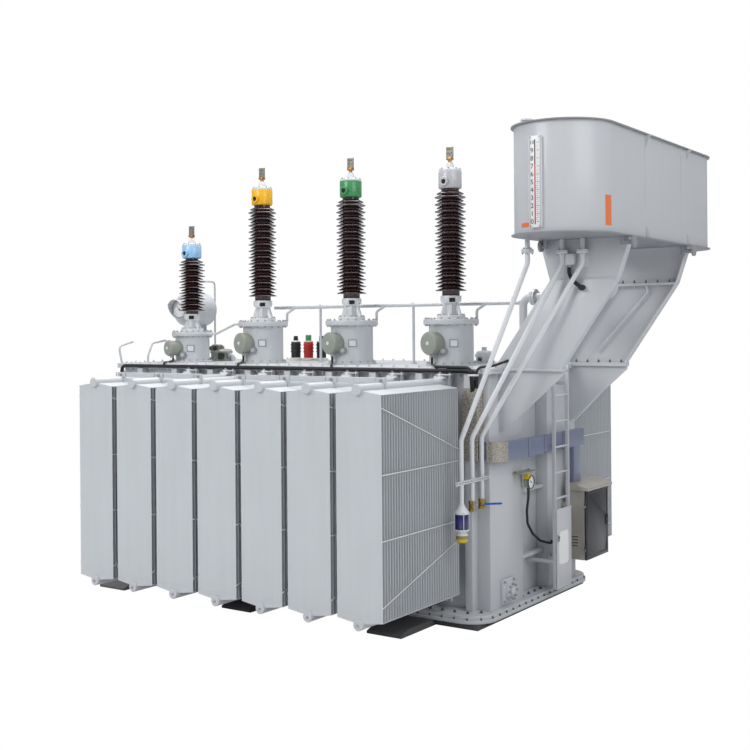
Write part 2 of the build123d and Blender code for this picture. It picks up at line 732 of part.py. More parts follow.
def breather_cup():
    profile = [(0, 0), (BREATHER_CUP_R - 12, 0), (BREATHER_CUP_R, 14), (BREATHER_CUP_R, BREATHER_CUP_H),
               (0, BREATHER_CUP_H)]
    return [turned(profile, PIPE_DOWN_X, PIPE_DOWN_Y[0], BREATHER_CUP_TOP - BREATHER_CUP_H)]


LEVER_DIR = Vector(cos(radians(45)), sin(radians(45)), 0)
STEM_DIR = Vector(cos(radians(45)), -sin(radians(45)), 0)


def drain_cocks():
    """Ball valves at the foot of the second and third pipes; the third has a lever on its stem."""
    cocks = []
    for y in PIPE_DOWN_Y[1:]:
        cocks.append(disc(PIPE_DOWN_X, y, PIPE_END_Z - COCK_H, PIPE_END_Z, COCK_R))
    middle = Vector(PIPE_DOWN_X, PIPE_DOWN_Y[2], PIPE_END_Z - COCK_H / 2)
    cocks[1] += rod(middle, middle + STEM_DIR * (LEVER_STAND + LEVER_T), LEVER_STEM_R)
    return cocks


def valve_lever():
    """A flat handle on the stem, level when the valve is shut."""
    middle = Vector(PIPE_DOWN_X, PIPE_DOWN_Y[2], PIPE_END_Z - COCK_H / 2) + STEM_DIR * LEVER_STAND
    frame = Plane(origin=middle, x_dir=LEVER_DIR, z_dir=STEM_DIR)
    outline = Pos((LEVER_LEN - LEVER_W) / 2, 0) * SlotOverall(LEVER_LEN, LEVER_W)
    outline -= Circle(LEVER_STEM_R + LEVER_FIT)
    return [extrude(frame * outline, amount=LEVER_T)]


# Main oil line, gas line and cover fittings
def oil_pipes():
    relay0, relay1 = RELAY_X - RELAY_LEN / 2, RELAY_X + RELAY_LEN / 2
    lower = bent_pipe([(OIL_X, 0, COVER_TOP), (OIL_X, 0, OIL_Z), (relay0, 0, OIL_Z)], OIL_R, OIL_BEND)
    upper = bent_pipe([(relay1, 0, OIL_Z), (OIL_UP_X, 0, OIL_Z), (OIL_UP_X, 0, CONS_Z)], OIL_R, OIL_BEND)
    return [lower, upper]


def gas_relay():
    half = RELAY_SIDE / 2
    body = block(RELAY_X - RELAY_LEN / 2, RELAY_X + RELAY_LEN / 2, -half, half, OIL_Z - half, OIL_Z + half)
    return [body + disc(RELAY_X, 0, OIL_Z + half, OIL_Z + half + 60, 0.5 * half)]


def gas_pipe():
    """A level pipe behind the bushings, on posts, with a riser from each turret."""
    line = rod((PHASE_XS[0] - 2 * GAS_R, 0, GAS_Z), (OIL_X - sqrt(OIL_R ** 2 - GAS_R ** 2), 0, GAS_Z), GAS_R)
    line -= disc(OIL_X, 0, GAS_Z - 2 * GAS_R, GAS_Z + 2 * GAS_R, OIL_R)
    for x in GAS_POSTS:
        line += disc(x, 0, COVER_TOP, GAS_Z, GAS_POST_R)
    for x in PHASE_XS:
        route = [(x + dx, dy, HV_FLANGE_TOP + dz) for dx, dy, dz in GAS_BRANCH]
        line += bent_pipe(route, GAS_POST_R, GAS_BRANCH_BEND)
    low_z = COVER_TOP + NEUTRAL_TURRET["h"] - NEUTRAL_TURRET["flange_t"]
    high_z = HV_FLANGE_TOP - HV_TURRET["flange_t"]
    left, right = NEUTRAL_X + NEUTRAL_TURRET["flange_r"], PHASE_XS[0] - HV_TURRET["flange_r"]
    inset = (right - left) / 4
    route = [(left, BUSHING_Y, low_z), (left + inset, BUSHING_Y, low_z), (right - inset, BUSHING_Y, high_z),
             (right, BUSHING_Y, high_z)]
    return [line, bent_pipe(route, GAS_POST_R, GAS_BRANCH_BEND)]


def tap_changer_drum():
    """A small level oil drum with dished ends, on two saddle plates, with a lifting eye and a vent loop."""
    dish, r = DRUM_DISH, DRUM_R
    profile = [(0, -dish), (0.5 * r, -0.82 * dish), (0.85 * r, -0.4 * dish), (r, 0), (r, DRUM_LEN),
               (0.85 * r, DRUM_LEN + 0.4 * dish), (0.5 * r, DRUM_LEN + 0.82 * dish), (0, DRUM_LEN + dish)]
    drum = turned_level(profile, DRUM_X, DRUM_Y, DRUM_Z)
    half = DRUM_LEG_W / 2
    for along in DRUM_LEGS:
        y = DRUM_Y + along
        drum += block(DRUM_X - half, DRUM_X + half, y, y + DRUM_LEG_T, COVER_TOP, DRUM_Z)
    eye_y, eye_z = DRUM_Y + EYE_Y, DRUM_Z + r + EYE_R / 2
    eye = rod((DRUM_X, eye_y, eye_z), (DRUM_X, eye_y + EYE_T, eye_z), EYE_R)
    drum += eye - rod((DRUM_X, eye_y, eye_z), (DRUM_X, eye_y + EYE_T, eye_z), EYE_R / 2)
    top = DRUM_Z + r + DRUM_PIPE_RISE
    y0, y1 = DRUM_PIPE_Y
    drum += bent_pipe([(DRUM_X, y0, DRUM_Z), (DRUM_X, y0, top), (DRUM_X, y1, top), (DRUM_X, y1, COVER_TOP)],
                      DRUM_PIPE_R, VENT_BEND)
    return [drum]


def tap_changer_head():
    """The low cast head of the tap changer on the cover: a flange, a drum and a domed lid with a boss."""
    r, h = SELECTOR_R, SELECTOR_H
    profile = [(0, 0), (r, 0), (r, 0.14 * h), (0.84 * r, 0.14 * h), (0.84 * r, 0.55 * h), (0.92 * r, 0.55 * h),
               (0.92 * r, 0.66 * h), (0.7 * r, 0.8 * h), (0.25 * r, 0.84 * h), (0.25 * r, h), (0, h)]
    return [turned(profile, SELECTOR_X, SELECTOR_Y, COVER_TOP)]


def drum_gauge():
    """A dial level gauge on the front of the drum, under a rain hood that is cut away below."""
    back = DRUM_Y - DRUM_DISH
    front = back - DIAL_BODY_T
    gauge = rod((DRUM_X, back, DRUM_Z), (DRUM_X, front, DRUM_Z), HOOD_R)
    rim = rod((DRUM_X, back, DRUM_Z), (DRUM_X, back - HOOD_LEN, DRUM_Z), HOOD_R)
    rim -= rod((DRUM_X, back, DRUM_Z), (DRUM_X, back - HOOD_LEN, DRUM_Z), HOOD_R - HOOD_T)
    away = [(front, DRUM_Z - HOOD_R), (back - HOOD_LEN, DRUM_Z - HOOD_R),
            (back - HOOD_LEN, DRUM_Z + HOOD_R / 2)]
    return [gauge + (rim - end_plate(away, DRUM_X - HOOD_R, DRUM_X + HOOD_R))]


def vent_pipes():
    """Two bent pipes at the left end: one from the end wall, one from the cover."""
    x, y, z = -BOX_X - COVER_OUT - 2 * VENT_R, VENT_IN - TANK_Y, TANK_TOP - VENT_IN
    low, high = VENT_WALL_RISE
    back, ahead = VENT_WALL_RUN
    wall = bent_pipe([(-BOX_X, y, z), (x, y, z), (x, y + back, COVER_TOP + low),
                      (x, y + ahead, COVER_TOP + high)], VENT_R, VENT_BEND)
    x, y = -BOX_X - VENT_R, VENT_COVER_IN - TANK_Y
    foot, low, high = VENT_COVER_RISE
    back, ahead = VENT_COVER_RUN
    cover = bent_pipe([(x, y, COVER_TOP), (x, y, COVER_TOP + foot), (x, y + back, COVER_TOP + low),
                       (x, y + ahead, COVER_TOP + high)], VENT_R, VENT_BEND)
    return [wall, cover]


def control_cables():
    """A cable bundle along the front edge of the cover, with a lead from each terminal box."""
    y, z = EDGE_Y - TRUNK_R, COVER_Z
    left, right = TRUNK_IN - BOX_X, BOX_X - END_BOX_D + TRUNK_IN
    wall, low = -TANK_Y, COVER_Z - TRUNK_DROP
    trunk = bent_pipe([(left, wall, low), (left, y, low), (left, y, z), (right, y, z), (right, y, low),
                       (right, wall, low)], TRUNK_R, TRUNK_BEND)
    for x, size in [(x, HV_TURRET) for x in PHASE_XS] + [(NEUTRAL_X, NEUTRAL_TURRET)]:
        reach = size["r"] + size["box_d"] / 2
        box_x, box_y = x - reach * sin(radians(CT_TURN)), BUSHING_Y - reach * cos(radians(CT_TURN))
        box_z = COVER_TOP + size["box_z"] - size["box_r"]
        lie_z, end_x = COVER_TOP + CABLE_LIE, x + LEAD_SWAY
        route = [(box_x, box_y, box_z), (box_x, box_y, lie_z), (end_x, y, lie_z), (end_x, y, z)]
        trunk += bent_pipe(route, LEAD_R, LEAD_BEND)
    return [trunk]


# Ladder and its hinged guard
def ladder_rails():
    """Two rails on stand-offs from the tank end; the rear one has the guard's hinge pins."""
    y0, y1 = LADDER_Y - LADDER_W / 2, LADDER_Y + LADDER_W / 2
    x0, x1 = LADDER_X - RAIL_D / 2, LADDER_X + RAIL_D / 2
    rails = []
    for y in (y0, y1 - RAIL_W):
        rail = block(x0, x1, y, y + RAIL_W, LADDER_Z0, LADDER_Z1)
        wall_x = BOX_X if y + RAIL_W > BOX_Y else TANK_X
        for z in (LADDER_Z0 + RUNG_PITCH, LADDER_Z1 - RUNG_PITCH):
            rail += block(wall_x, x0, y, y + RAIL_W, z, z + RAIL_D)
        rails.append(rail)
    pin_x, pin_y = guard_axis()
    for z in guard_hinges():
        rails[1] += disc(pin_x, pin_y, z - KNUCKLE_H, z + KNUCKLE_H / 2, PIN_R)
        rails[1] += block(pin_x - KNUCKLE_R, pin_x, y1, pin_y, z - KNUCKLE_H, z - KNUCKLE_H / 2 - PIN_FIT)
    return rails


def ladder_rungs():
    """Round rungs between the rails."""
    y0, y1 = LADDER_Y - LADDER_W / 2 + RAIL_W, LADDER_Y + LADDER_W / 2 - RAIL_W
    count = int((LADDER_Z1 - LADDER_Z0 - RUNG_PITCH / 2) / RUNG_PITCH) + 1
    heights = [LADDER_Z0 + RUNG_PITCH / 2 + k * RUNG_PITCH for k in range(count)]
    return [rod((LADDER_X, y0, z), (LADDER_X, y1, z), RUNG_R) for z in heights]


def guard_axis():
    """Place of the upright hinge line on the rear rail."""
    return LADDER_X + RAIL_D / 2, LADDER_Y + LADDER_W / 2 + KNUCKLE_R + GUARD_CLEAR


def guard_hinges():
    return LADDER_Z0 + HINGE_IN, LADDER_Z0 + GUARD_H - HINGE_IN


def ladder_guard():
    """A plate that closes the lower rungs, hung on two knuckles."""
    pin_x, pin_y = guard_axis()
    x0 = LADDER_X + RAIL_D / 2 + GUARD_CLEAR
    plate = block(x0, x0 + GUARD_T, LADDER_Y - LADDER_W / 2, pin_y, LADDER_Z0, LADDER_Z0 + GUARD_H)
    for z in guard_hinges():
        plate += disc(pin_x, pin_y, z - KNUCKLE_H / 2, z + KNUCKLE_H / 2, KNUCKLE_R)
        plate -= disc(pin_x, pin_y, z - KNUCKLE_H, z + KNUCKLE_H, PIN_R + PIN_FIT)
    return [plate]


# Cable tray, cabinet and thermometer
def cable_tray():
    tray = block(TRAY_X, TRAY_X + TRAY_D, TRAY_Y0, TRAY_Y1, TRAY_Z, TRAY_Z + TRAY_H)
    drop = block(TRAY_X, TRAY_X + TRAY_D, TRAY_DROP_Y - TRAY_DROP_W / 2, TRAY_DROP_Y + TRAY_DROP_W / 2,
                 CAB_TOP + CAB_ROOF_H, TRAY_Z)
    tray += drop
    turn_x, reach = TRAY_X - TRAY_TURN, TRAY_TURN + TRAY_D
    top = TRAY_Z + TRAY_H
    elbow = disc(turn_x, TRAY_Y0, TRAY_Z, top, reach) - disc(turn_x, TRAY_Y0, TRAY_Z, top, TRAY_TURN)
    tray += elbow & block(turn_x, turn_x + reach, TRAY_Y0 - reach, TRAY_Y0, TRAY_Z, TRAY_Z + TRAY_H)
    tray += block(turn_x - TRAY_RUN, turn_x, TRAY_Y0 - reach, TRAY_Y0 - TRAY_TURN, TRAY_Z, TRAY_Z + TRAY_H)
    for y in (-TANK_Y + END_BOX_W / 2, TANK_Y - END_BOX_W / 2):
        tray += block(BOX_X, TRAY_X, y - TRAY_D / 2, y + TRAY_D / 2, TRAY_Z + TRAY_D, TRAY_Z + TRAY_H - TRAY_D)
    return [tray]


def cabinet_body():
    """An open-fronted steel cabinet on two brackets, with the fixed halves of the door hinges."""
    y1 = CAB_Y0 + CAB_W
    body = block(CAB_X, CAB_FRONT, CAB_Y0, y1, CAB_Z, CAB_TOP)
    body -= block(CAB_X + CAB_WALL, CAB_FRONT, CAB_Y0 + CAB_WALL, y1 - CAB_WALL,
                  CAB_Z + CAB_WALL, CAB_TOP - CAB_WALL)
    for z in (CAB_Z + 0.2 * CAB_H, CAB_Z + 0.75 * CAB_H):
        body += block(BOX_X, CAB_X, CAB_Y0, TANK_Y, z, z + CAB_BRACKET_H)
    pin_x, pin_y = door_axis()
    for z in door_hinges():
        body += disc(pin_x, pin_y, z - KNUCKLE_H, z + KNUCKLE_H / 2, PIN_R)
        body += block(CAB_FRONT - 2 * KNUCKLE_R, pin_x, pin_y, CAB_Y0,
                      z - KNUCKLE_H, z - KNUCKLE_H / 2 - PIN_FIT)
    return [body]


def door_axis():
    """Place of the upright hinge line at the front edge of the cabinet."""
    return CAB_FRONT + DOOR_CLEAR + KNUCKLE_R, CAB_Y0 - KNUCKLE_R - DOOR_CLEAR


def door_hinges():
    return CAB_Z + HINGE_IN, CAB_TOP - HINGE_IN


def cabinet_door():
    pin_x, pin_y = door_axis()
    x0 = CAB_FRONT + DOOR_CLEAR
    y1 = CAB_Y0 + CAB_W
    door = block(x0, x0 + DOOR_T, CAB_Y0, y1, CAB_Z, CAB_TOP)
    handle_z = (CAB_Z + CAB_TOP - HANDLE_L) / 2
    front, side = x0 + DOOR_T, y1 - HANDLE_IN
    door += block(front, front + HANDLE_OUT, side, side + HANDLE_W, handle_z, handle_z + HANDLE_L)
    for z in door_hinges():
        door += block(x0 + KNUCKLE_R / 2, x0 + DOOR_T - KNUCKLE_R / 2, pin_y, CAB_Y0,
                      z - KNUCKLE_H / 2, z + KNUCKLE_H / 2)
        door += disc(pin_x, pin_y, z - KNUCKLE_H / 2, z + KNUCKLE_H / 2, KNUCKLE_R)
        door -= disc(pin_x, pin_y, z - KNUCKLE_H, z + KNUCKLE_H, PIN_R + PIN_FIT)
    return [door]


def cabinet_roof():
    """A rain roof that slopes to the front and stands out all round."""
    y0, y1 = CAB_Y0 - CAB_ROOF_OUT, CAB_Y0 + CAB_W + CAB_ROOF_OUT
    front = CAB_FRONT + DOOR_CLEAR + DOOR_T + CAB_ROOF_OUT
    low, high = CAB_TOP + DOOR_CLEAR, CAB_TOP + CAB_ROOF_H
    eaves = CAB_TOP + 0.4 * CAB_ROOF_H
    slope = [(CAB_X, low), (CAB_X, high), (TRAY_X + TRAY_D, high), (front, eaves), (front, low)]
    roof = wall_plate(slope, y0, y1)
    return [roof + block(CAB_X, CAB_FRONT, CAB_Y0, CAB_Y0 + CAB_W, CAB_TOP, CAB_TOP + DOOR_CLEAR)]


def thermometer():
    """A dial thermometer that hangs under a small shelf on the end box."""
    shelf_z = DIAL_Z + 1.7 * DIAL_R
    shelf = block(BOX_X, BOX_X + DIAL_SHELF_D, DIAL_Y - 4 * DIAL_R, DIAL_Y + 1.5 * DIAL_R,
                  shelf_z, shelf_z + DIAL_SHELF_T)
    x = BOX_X + DIAL_SHELF_D / 2
    dial = rod((x - DIAL_T / 2, DIAL_Y, DIAL_Z), (x + DIAL_T / 2, DIAL_Y, DIAL_Z), DIAL_R)
    return [shelf + dial + disc(x, DIAL_Y, DIAL_Z, shelf_z, 0.3 * DIAL_R)]


def thermometer_cable():
    """The lead that hangs from the dial to the rear box of the end wall."""
    x = BOX_X + DIAL_SHELF_D / 2
    z = DIAL_Z - DIAL_R
    route = [(x, DIAL_Y, z)] + [(x, DIAL_Y + along, z - down) for along, down in CABLE_SAG]
    route.append((BOX_X, DIAL_Y + CABLE_SAG[-1][0], z - CABLE_SAG[-1][1]))
    return [bent_pipe(route, CABLE_R, CABLE_BEND)]


def drain_flange():
    half = DRAIN_SIDE / 2
    plate = block(BOX_X, BOX_X + DRAIN_T, DRAIN_Y - half, DRAIN_Y + half, DRAIN_Z - half, DRAIN_Z + half)
    x = BOX_X + DRAIN_T
    return [plate + rod((x, DRAIN_Y, DRAIN_Z), (x + DRAIN_T, DRAIN_Y, DRAIN_Z), 0.75 * half)]


def main():
    os.makedirs("parts", exist_ok=True)
    plain = (base_skids, base_flange, tank_flange, tank_body, tank_end_boxes, tank_stiffeners,
             tank_top_flange, tank_cover, radiator_tie_bars, radiator_side_ties, conservator_shell,
             conservator_plates, oil_level_gauge, conservator_pipes, pipe_bar,
             breather_fittings, breather_glass, breather_cup, drain_cocks, valve_lever,
             oil_pipes, gas_relay, gas_pipe, tap_changer_head, tap_changer_drum, drum_gauge,
             vent_pipes, control_cables,
             ladder_rails, ladder_rungs, ladder_guard,
             cable_tray, cabinet_body, cabinet_door, cabinet_roof, thermometer, thermometer_cable,
             drain_flange)
    for piece in plain:
        save(piece.__name__, piece())
    for number, x in enumerate(RAD_XS, 1):
        save(f"radiator_pair_{number}", radiator(x, -1) + radiator(x, 1))
    save("radiator_headers", radiator_headers(-1) + radiator_headers(1))
    save("radiator_valves", radiator_valves(-1) + radiator_valves(1))
    ys = (-SUPPORT_Y, SUPPORT_Y)
    save("support_brackets", [support_gusset(y) for y in ys])
    save("support_columns", [support_column(y) for y in ys])
    save("support_heads", [support_head(y) for y in ys])
    foot, shed, cap, stud = bushing_levels(HV_TURRET, HV_BUSHING)
    low_foot, low_shed, low_cap, low_stud = bushing_levels(NEUTRAL_TURRET, NEUTRAL_BUSHING)
    save("turrets", [turret(x, HV_TURRET) for x in PHASE_XS] + [turret(NEUTRAL_X, NEUTRAL_TURRET)])
    save("bushing_bases", [bushing_base(x, foot, HV_BUSHING) for x in PHASE_XS]
         + [bushing_base(NEUTRAL_X, low_foot, NEUTRAL_BUSHING)])
    for word, x in zip(("a", "b", "c"), PHASE_XS):
        save(f"bushing_cap_{word}", [bushing_cap(x, cap, HV_BUSHING)])
    save("porcelains", [porcelain(x, shed, HV_BUSHING) for x in PHASE_XS]
         + [porcelain(NEUTRAL_X, low_shed, NEUTRAL_BUSHING)])
    save("bushing_cap_neutral", [bushing_cap(NEUTRAL_X, low_cap, NEUTRAL_BUSHING)])
    save("terminals", [terminal(x, stud, HV_BUSHING) for x in PHASE_XS]
         + [terminal(NEUTRAL_X, low_stud, NEUTRAL_BUSHING)])
    save("ct_boxes", [ct_box(x, HV_TURRET) for x in PHASE_XS] + [ct_box(NEUTRAL_X, NEUTRAL_TURRET)])
    save("lv_bushings", [lv_bushing(x) for x in LV_X])


main()
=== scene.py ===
# %% [markdown]
# # A power transformer, dressed in Blender
# The real machine is a steel tank full of oil, with finned radiators along both sides, tall
# brown insulators on its cover and an oil tank held high at one end. Its construction comes
# in as a fixed frame of named nodes. This lesson keeps every node where it is and makes the
# surfaces that the eye sees: rolled fins, glazed sheds, bolts, dials and paint.

# %% Load the frame
import math
import bmesh
import bpy
from mathutils import Matrix, Vector


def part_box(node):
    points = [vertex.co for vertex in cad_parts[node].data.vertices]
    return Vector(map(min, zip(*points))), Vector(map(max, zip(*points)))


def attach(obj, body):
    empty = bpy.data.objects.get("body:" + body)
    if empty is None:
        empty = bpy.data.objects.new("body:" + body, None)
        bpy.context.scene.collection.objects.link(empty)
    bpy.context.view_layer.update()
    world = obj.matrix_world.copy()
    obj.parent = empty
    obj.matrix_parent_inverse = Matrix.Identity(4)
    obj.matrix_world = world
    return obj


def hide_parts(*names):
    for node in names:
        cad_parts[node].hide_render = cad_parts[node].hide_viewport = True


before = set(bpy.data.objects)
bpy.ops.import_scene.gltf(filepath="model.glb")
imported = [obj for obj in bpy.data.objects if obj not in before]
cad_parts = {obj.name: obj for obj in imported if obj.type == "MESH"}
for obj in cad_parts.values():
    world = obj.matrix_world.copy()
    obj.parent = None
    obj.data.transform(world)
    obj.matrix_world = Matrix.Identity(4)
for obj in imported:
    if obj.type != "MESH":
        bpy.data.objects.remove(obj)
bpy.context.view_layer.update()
ROOT = "transformer"
MM = 0.001


# %% [markdown]
# ## Colours and shared effects
# Paint, glaze and metal all vary a little over a surface. Three effects serve all the
# finishes, so each is a node group: a coat that is slightly uneven in colour and gloss, fine
# drawn lines for rolled metal, and the flakes of zinc. Colours are written as screen values
# and made linear.

# %% Colour helper
def screen(red, green, blue):
    """A screen colour from 0 to 255 as linear values."""
    values = []
    for part in (red, green, blue):
        part = part / 255
        values.append(part / 12.92 if part <= 0.04045 else ((part + 0.055) / 1.055) ** 2.4)
    return (*values, 1.0)


# %% Node helpers
def node(tree, kind, place, **sockets):
    """Add one shader node and set the sockets that are named."""
    made = tree.nodes.new(kind)
    made.location = place
    for name, value in sockets.items():
        made.inputs[name.replace("_", " ")].default_value = value
    return made


def sums(tree, operation, place, *terms):
    """A math node on numbers or on the outputs of other nodes."""
    made = node(tree, "ShaderNodeMath", place)
    made.operation = operation
    for socket, term in zip(made.inputs, terms):
        if isinstance(term, float):
            socket.default_value = term
        else:
            tree.links.new(term, socket)
    return made.outputs[0]


def noise(tree, place, stretch=(1, 1, 1), **sockets):
    """A noise texture in the object's own metres, drawn out along its axes."""
    left, height = place
    spot = node(tree, "ShaderNodeTexCoord", (left - 400, height))
    drawn = node(tree, "ShaderNodeMapping", (left - 200, height), Scale=stretch)
    made = node(tree, "ShaderNodeTexNoise", place, **sockets)
    tree.links.new(spot.outputs["Object"], drawn.inputs["Vector"])
    tree.links.new(drawn.outputs["Vector"], made.inputs["Vector"])
    return made


# %% Effect helpers
def new_effect(name, **amounts):
    """A node group: a colour and amounts go in, colour, roughness and height come out."""
    group = bpy.data.node_groups.new(name, "ShaderNodeTree")
    socket = group.interface.new_socket
    socket("Color", in_out="INPUT", socket_type="NodeSocketColor")
    for label, value in amounts.items():
        socket(label, in_out="INPUT", socket_type="NodeSocketFloat").default_value = value
    socket("Color", in_out="OUTPUT", socket_type="NodeSocketColor")
    for label in ("Roughness", "Height"):
        socket(label, in_out="OUTPUT", socket_type="NodeSocketFloat")
    return group, node(group, "NodeGroupInput", (-1100, 0)), node(group, "NodeGroupOutput", (700, 0))


def about_zero(group, place, value, amount):
    """A texture's value, moved to lie about zero and scaled by an amount."""
    centred = sums(group, "SUBTRACT", place, value, 0.5)
    return sums(group, "MULTIPLY", (place[0] + 160, place[1]), centred, amount)


def vary(group, start, end, change):
    """Let a value about zero change the tone and the gloss."""
    link = group.links.new
    tone = node(group, "ShaderNodeHueSaturation", (300, 150))
    link(sums(group, "ADD", (100, 60), change, 1.0), tone.inputs["Value"])
    link(start.outputs["Color"], tone.inputs["Color"])
    link(tone.outputs["Color"], end.inputs["Color"])
    link(sums(group, "ADD", (300, -150), start.outputs["Gloss"], change), end.inputs["Roughness"])


print("node helpers ready")


# %% [markdown]
# ## Uneven coat
# A sprayed coat is never one flat colour. Broad soft clouds change its tone, faint upright
# streaks show where rain ran down, and a fine grain gives the orange-peel look up close.
# Object coordinates are in metres here, so the scales are real sizes.

# %% Uneven coat group
def make_uneven_coat():
    group, start, end = new_effect("uneven_coat", Clouding=0.05, Streaks=0.05, Gloss=0.4, Grain=220.0)
    clouds = noise(group, (-600, 200), Scale=1.7, Detail=4.0, Roughness=0.6)
    streaks = noise(group, (-600, -120), (14.0, 14.0, 0.9), Scale=1.0, Detail=3.0)
    grain = noise(group, (-600, -450), Detail=2.0)
    clouding = about_zero(group, (-380, 200), clouds.outputs["Fac"], start.outputs["Clouding"])
    streaking = about_zero(group, (-380, -120), streaks.outputs["Fac"], start.outputs["Streaks"])
    vary(group, start, end, sums(group, "ADD", (-60, 60), clouding, streaking))
    group.links.new(start.outputs["Grain"], grain.inputs["Scale"])
    group.links.new(grain.outputs["Fac"], end.inputs["Height"])
    return group


COAT = make_uneven_coat()
print("group", COAT.name)


# %% [markdown]
# ## Drawn lines
# Rolled stainless sheet has fine lines along one way. Noise stretched far along that way
# gives them, and they change both the gloss and the surface height.

# %% Drawn lines group
def make_drawn_lines():
    group, start, end = new_effect("drawn_lines", Gloss=0.3, Depth=0.1)
    link = group.links.new
    lines = noise(group, (-500, -250), (260.0, 260.0, 3.0), Scale=1.0, Detail=2.0)
    clouds = noise(group, (-500, 150), Scale=3.0, Detail=3.0)
    tone = node(group, "ShaderNodeMapRange", (-250, 150), To_Min=0.82, To_Max=1.14)
    shade = node(group, "ShaderNodeHueSaturation", (100, 150))
    link(clouds.outputs["Fac"], tone.inputs["Value"])
    link(tone.outputs["Result"], shade.inputs["Value"])
    link(start.outputs["Color"], shade.inputs["Color"])
    link(shade.outputs["Color"], end.inputs["Color"])
    gloss = sums(group, "MULTIPLY_ADD", (-250, -250), lines.outputs["Fac"],
                 start.outputs["Depth"], start.outputs["Gloss"])
    link(gloss, end.inputs["Roughness"])
    link(lines.outputs["Fac"], end.inputs["Height"])
    return group


LINES = make_drawn_lines()
print("group", LINES.name)


# %% [markdown]
# ## Zinc spangle
# Hot-dipped zinc freezes in flakes, and each flake catches the light in its own way. Voronoi
# cells give one random value for each flake, which changes its tone and its gloss.

# %% Zinc spangle group
def make_zinc_spangle():
    group, start, end = new_effect("zinc_spangle", Gloss=0.3, Depth=0.4, Flakes=75.0)
    link = group.links.new
    spot = node(group, "ShaderNodeTexCoord", (-800, 0))
    flakes = node(group, "ShaderNodeTexVoronoi", (-600, 0))
    split = node(group, "ShaderNodeSeparateColor", (-400, 0))
    link(spot.outputs["Object"], flakes.inputs["Vector"])
    link(start.outputs["Flakes"], flakes.inputs["Scale"])
    link(flakes.outputs["Color"], split.inputs["Color"])
    vary(group, start, end, about_zero(group, (-220, 0), split.outputs["Red"], start.outputs["Depth"]))
    link(split.outputs["Green"], end.inputs["Height"])
    return group


SPANGLE = make_zinc_spangle()
print("group", SPANGLE.name)


# %% [markdown]
# ## Finishes
# Every finish is a Principled shader fed by one of the three groups. Numbers that are the same
# all over a surface, such as the coat weight, stay on the shader's own sockets.

# %% Finish maker
def finish(name, colour, group=COAT, metal=0.0, coat=0.0, bump=0.02, **amounts):
    """A material whose colour, gloss and height come from a shared group."""
    made = bpy.data.materials.new(name)
    made.use_nodes = True
    tree = made.node_tree
    link = tree.links.new
    shader = tree.nodes["Principled BSDF"]
    shader.inputs["Metallic"].default_value = metal
    shader.inputs["Coat Weight"].default_value = coat
    effect = node(tree, "ShaderNodeGroup", (-500, 100))
    effect.node_tree = group
    effect.inputs["Color"].default_value = screen(*colour)
    for label, value in amounts.items():
        effect.inputs[label].default_value = value
    raised = node(tree, "ShaderNodeBump", (-220, -200), Strength=bump, Distance=0.002)
    link(effect.outputs["Color"], shader.inputs["Base Color"])
    link(effect.outputs["Roughness"], shader.inputs["Roughness"])
    link(effect.outputs["Height"], raised.inputs["Height"])
    link(raised.outputs["Normal"], shader.inputs["Normal"])
    return made


# %% Paints and glazes
PHASE_COAT = {"coat": 0.3, "Streaks": 0.0, "Gloss": 0.3}
PAINT = finish("grey_paint", (203, 206, 209), coat=0.15, Gloss=0.36)
FIN_PAINT = finish("fin_paint", (203, 207, 210), coat=0.1, Clouding=0.07, Streaks=0.08)
RIM = finish("rim_grey", (150, 153, 157), Clouding=0.15, Streaks=0.1, Gloss=0.42)
# White paint; also put on some grey-painted pieces as a painted highlight.
WHITE_PAINT_AND_HIGHLIGHT = finish("white_paint_and_painted_highlight", (226, 228, 230), coat=0.2, Gloss=0.34)
DARK_STEEL = finish("dark_steel", (92, 92, 93), Clouding=0.25, Streaks=0.1, Gloss=0.55)
GLAZE = finish("brown_glaze", (58, 34, 36), coat=0.6, bump=0.01, Clouding=0.3, Streaks=0.15, Gloss=0.16)
WHITE_GLAZE = finish("white_glaze", (214, 212, 204), coat=0.6, bump=0.01, Clouding=0.06, Gloss=0.15)
YELLOW = finish("phase_yellow", (250, 190, 30), **PHASE_COAT)
GREEN = finish("phase_green", (66, 150, 92), **PHASE_COAT)
SILVER = finish("phase_silver", (196, 196, 200), **PHASE_COAT)
BLUE = finish("neutral_blue", (160, 206, 244), **PHASE_COAT)
ORANGE = finish("orange_plate", (236, 128, 74), Gloss=0.35)
LEVER = finish("lever_blue", (24, 84, 178), coat=0.4, Gloss=0.28)
TRAY = finish("tray_film", (116, 125, 150), coat=0.2, Clouding=0.08, Gloss=0.3)

# %% Metals
CAST = finish("cast_alloy", (152, 156, 146), bump=0.06, Clouding=0.08, Gloss=0.42)
TINNED = finish("tinned_metal", (138, 134, 124), metal=0.35, Clouding=0.2)
BRASS = finish("cast_brass", (186, 142, 84), metal=0.5, Clouding=0.25, Gloss=0.36)
VALVE_BRASS = finish("valve_brass", (170, 146, 62), metal=0.6, Clouding=0.3, Gloss=0.3)
ZINC = finish("zinc_bolts", (180, 182, 186), metal=0.5, Clouding=0.25, Gloss=0.36)
STAINLESS = finish("stainless_sheet", (196, 190, 180), LINES, 0.55, bump=0.03, Gloss=0.26, Depth=0.14)
# The door is the same stainless as the cabinet, made far darker: a painted dark reflection.
DARKENED_DOOR_STEEL = finish("stainless_door_painted_dark", (92, 92, 94), LINES, 1.0, bump=0.03, Gloss=0.22, Depth=0.14)
SPANGLED = finish("spangled_zinc", (190, 183, 172), SPANGLE, 0.6, bump=0.03, Depth=0.2, Flakes=120.0)

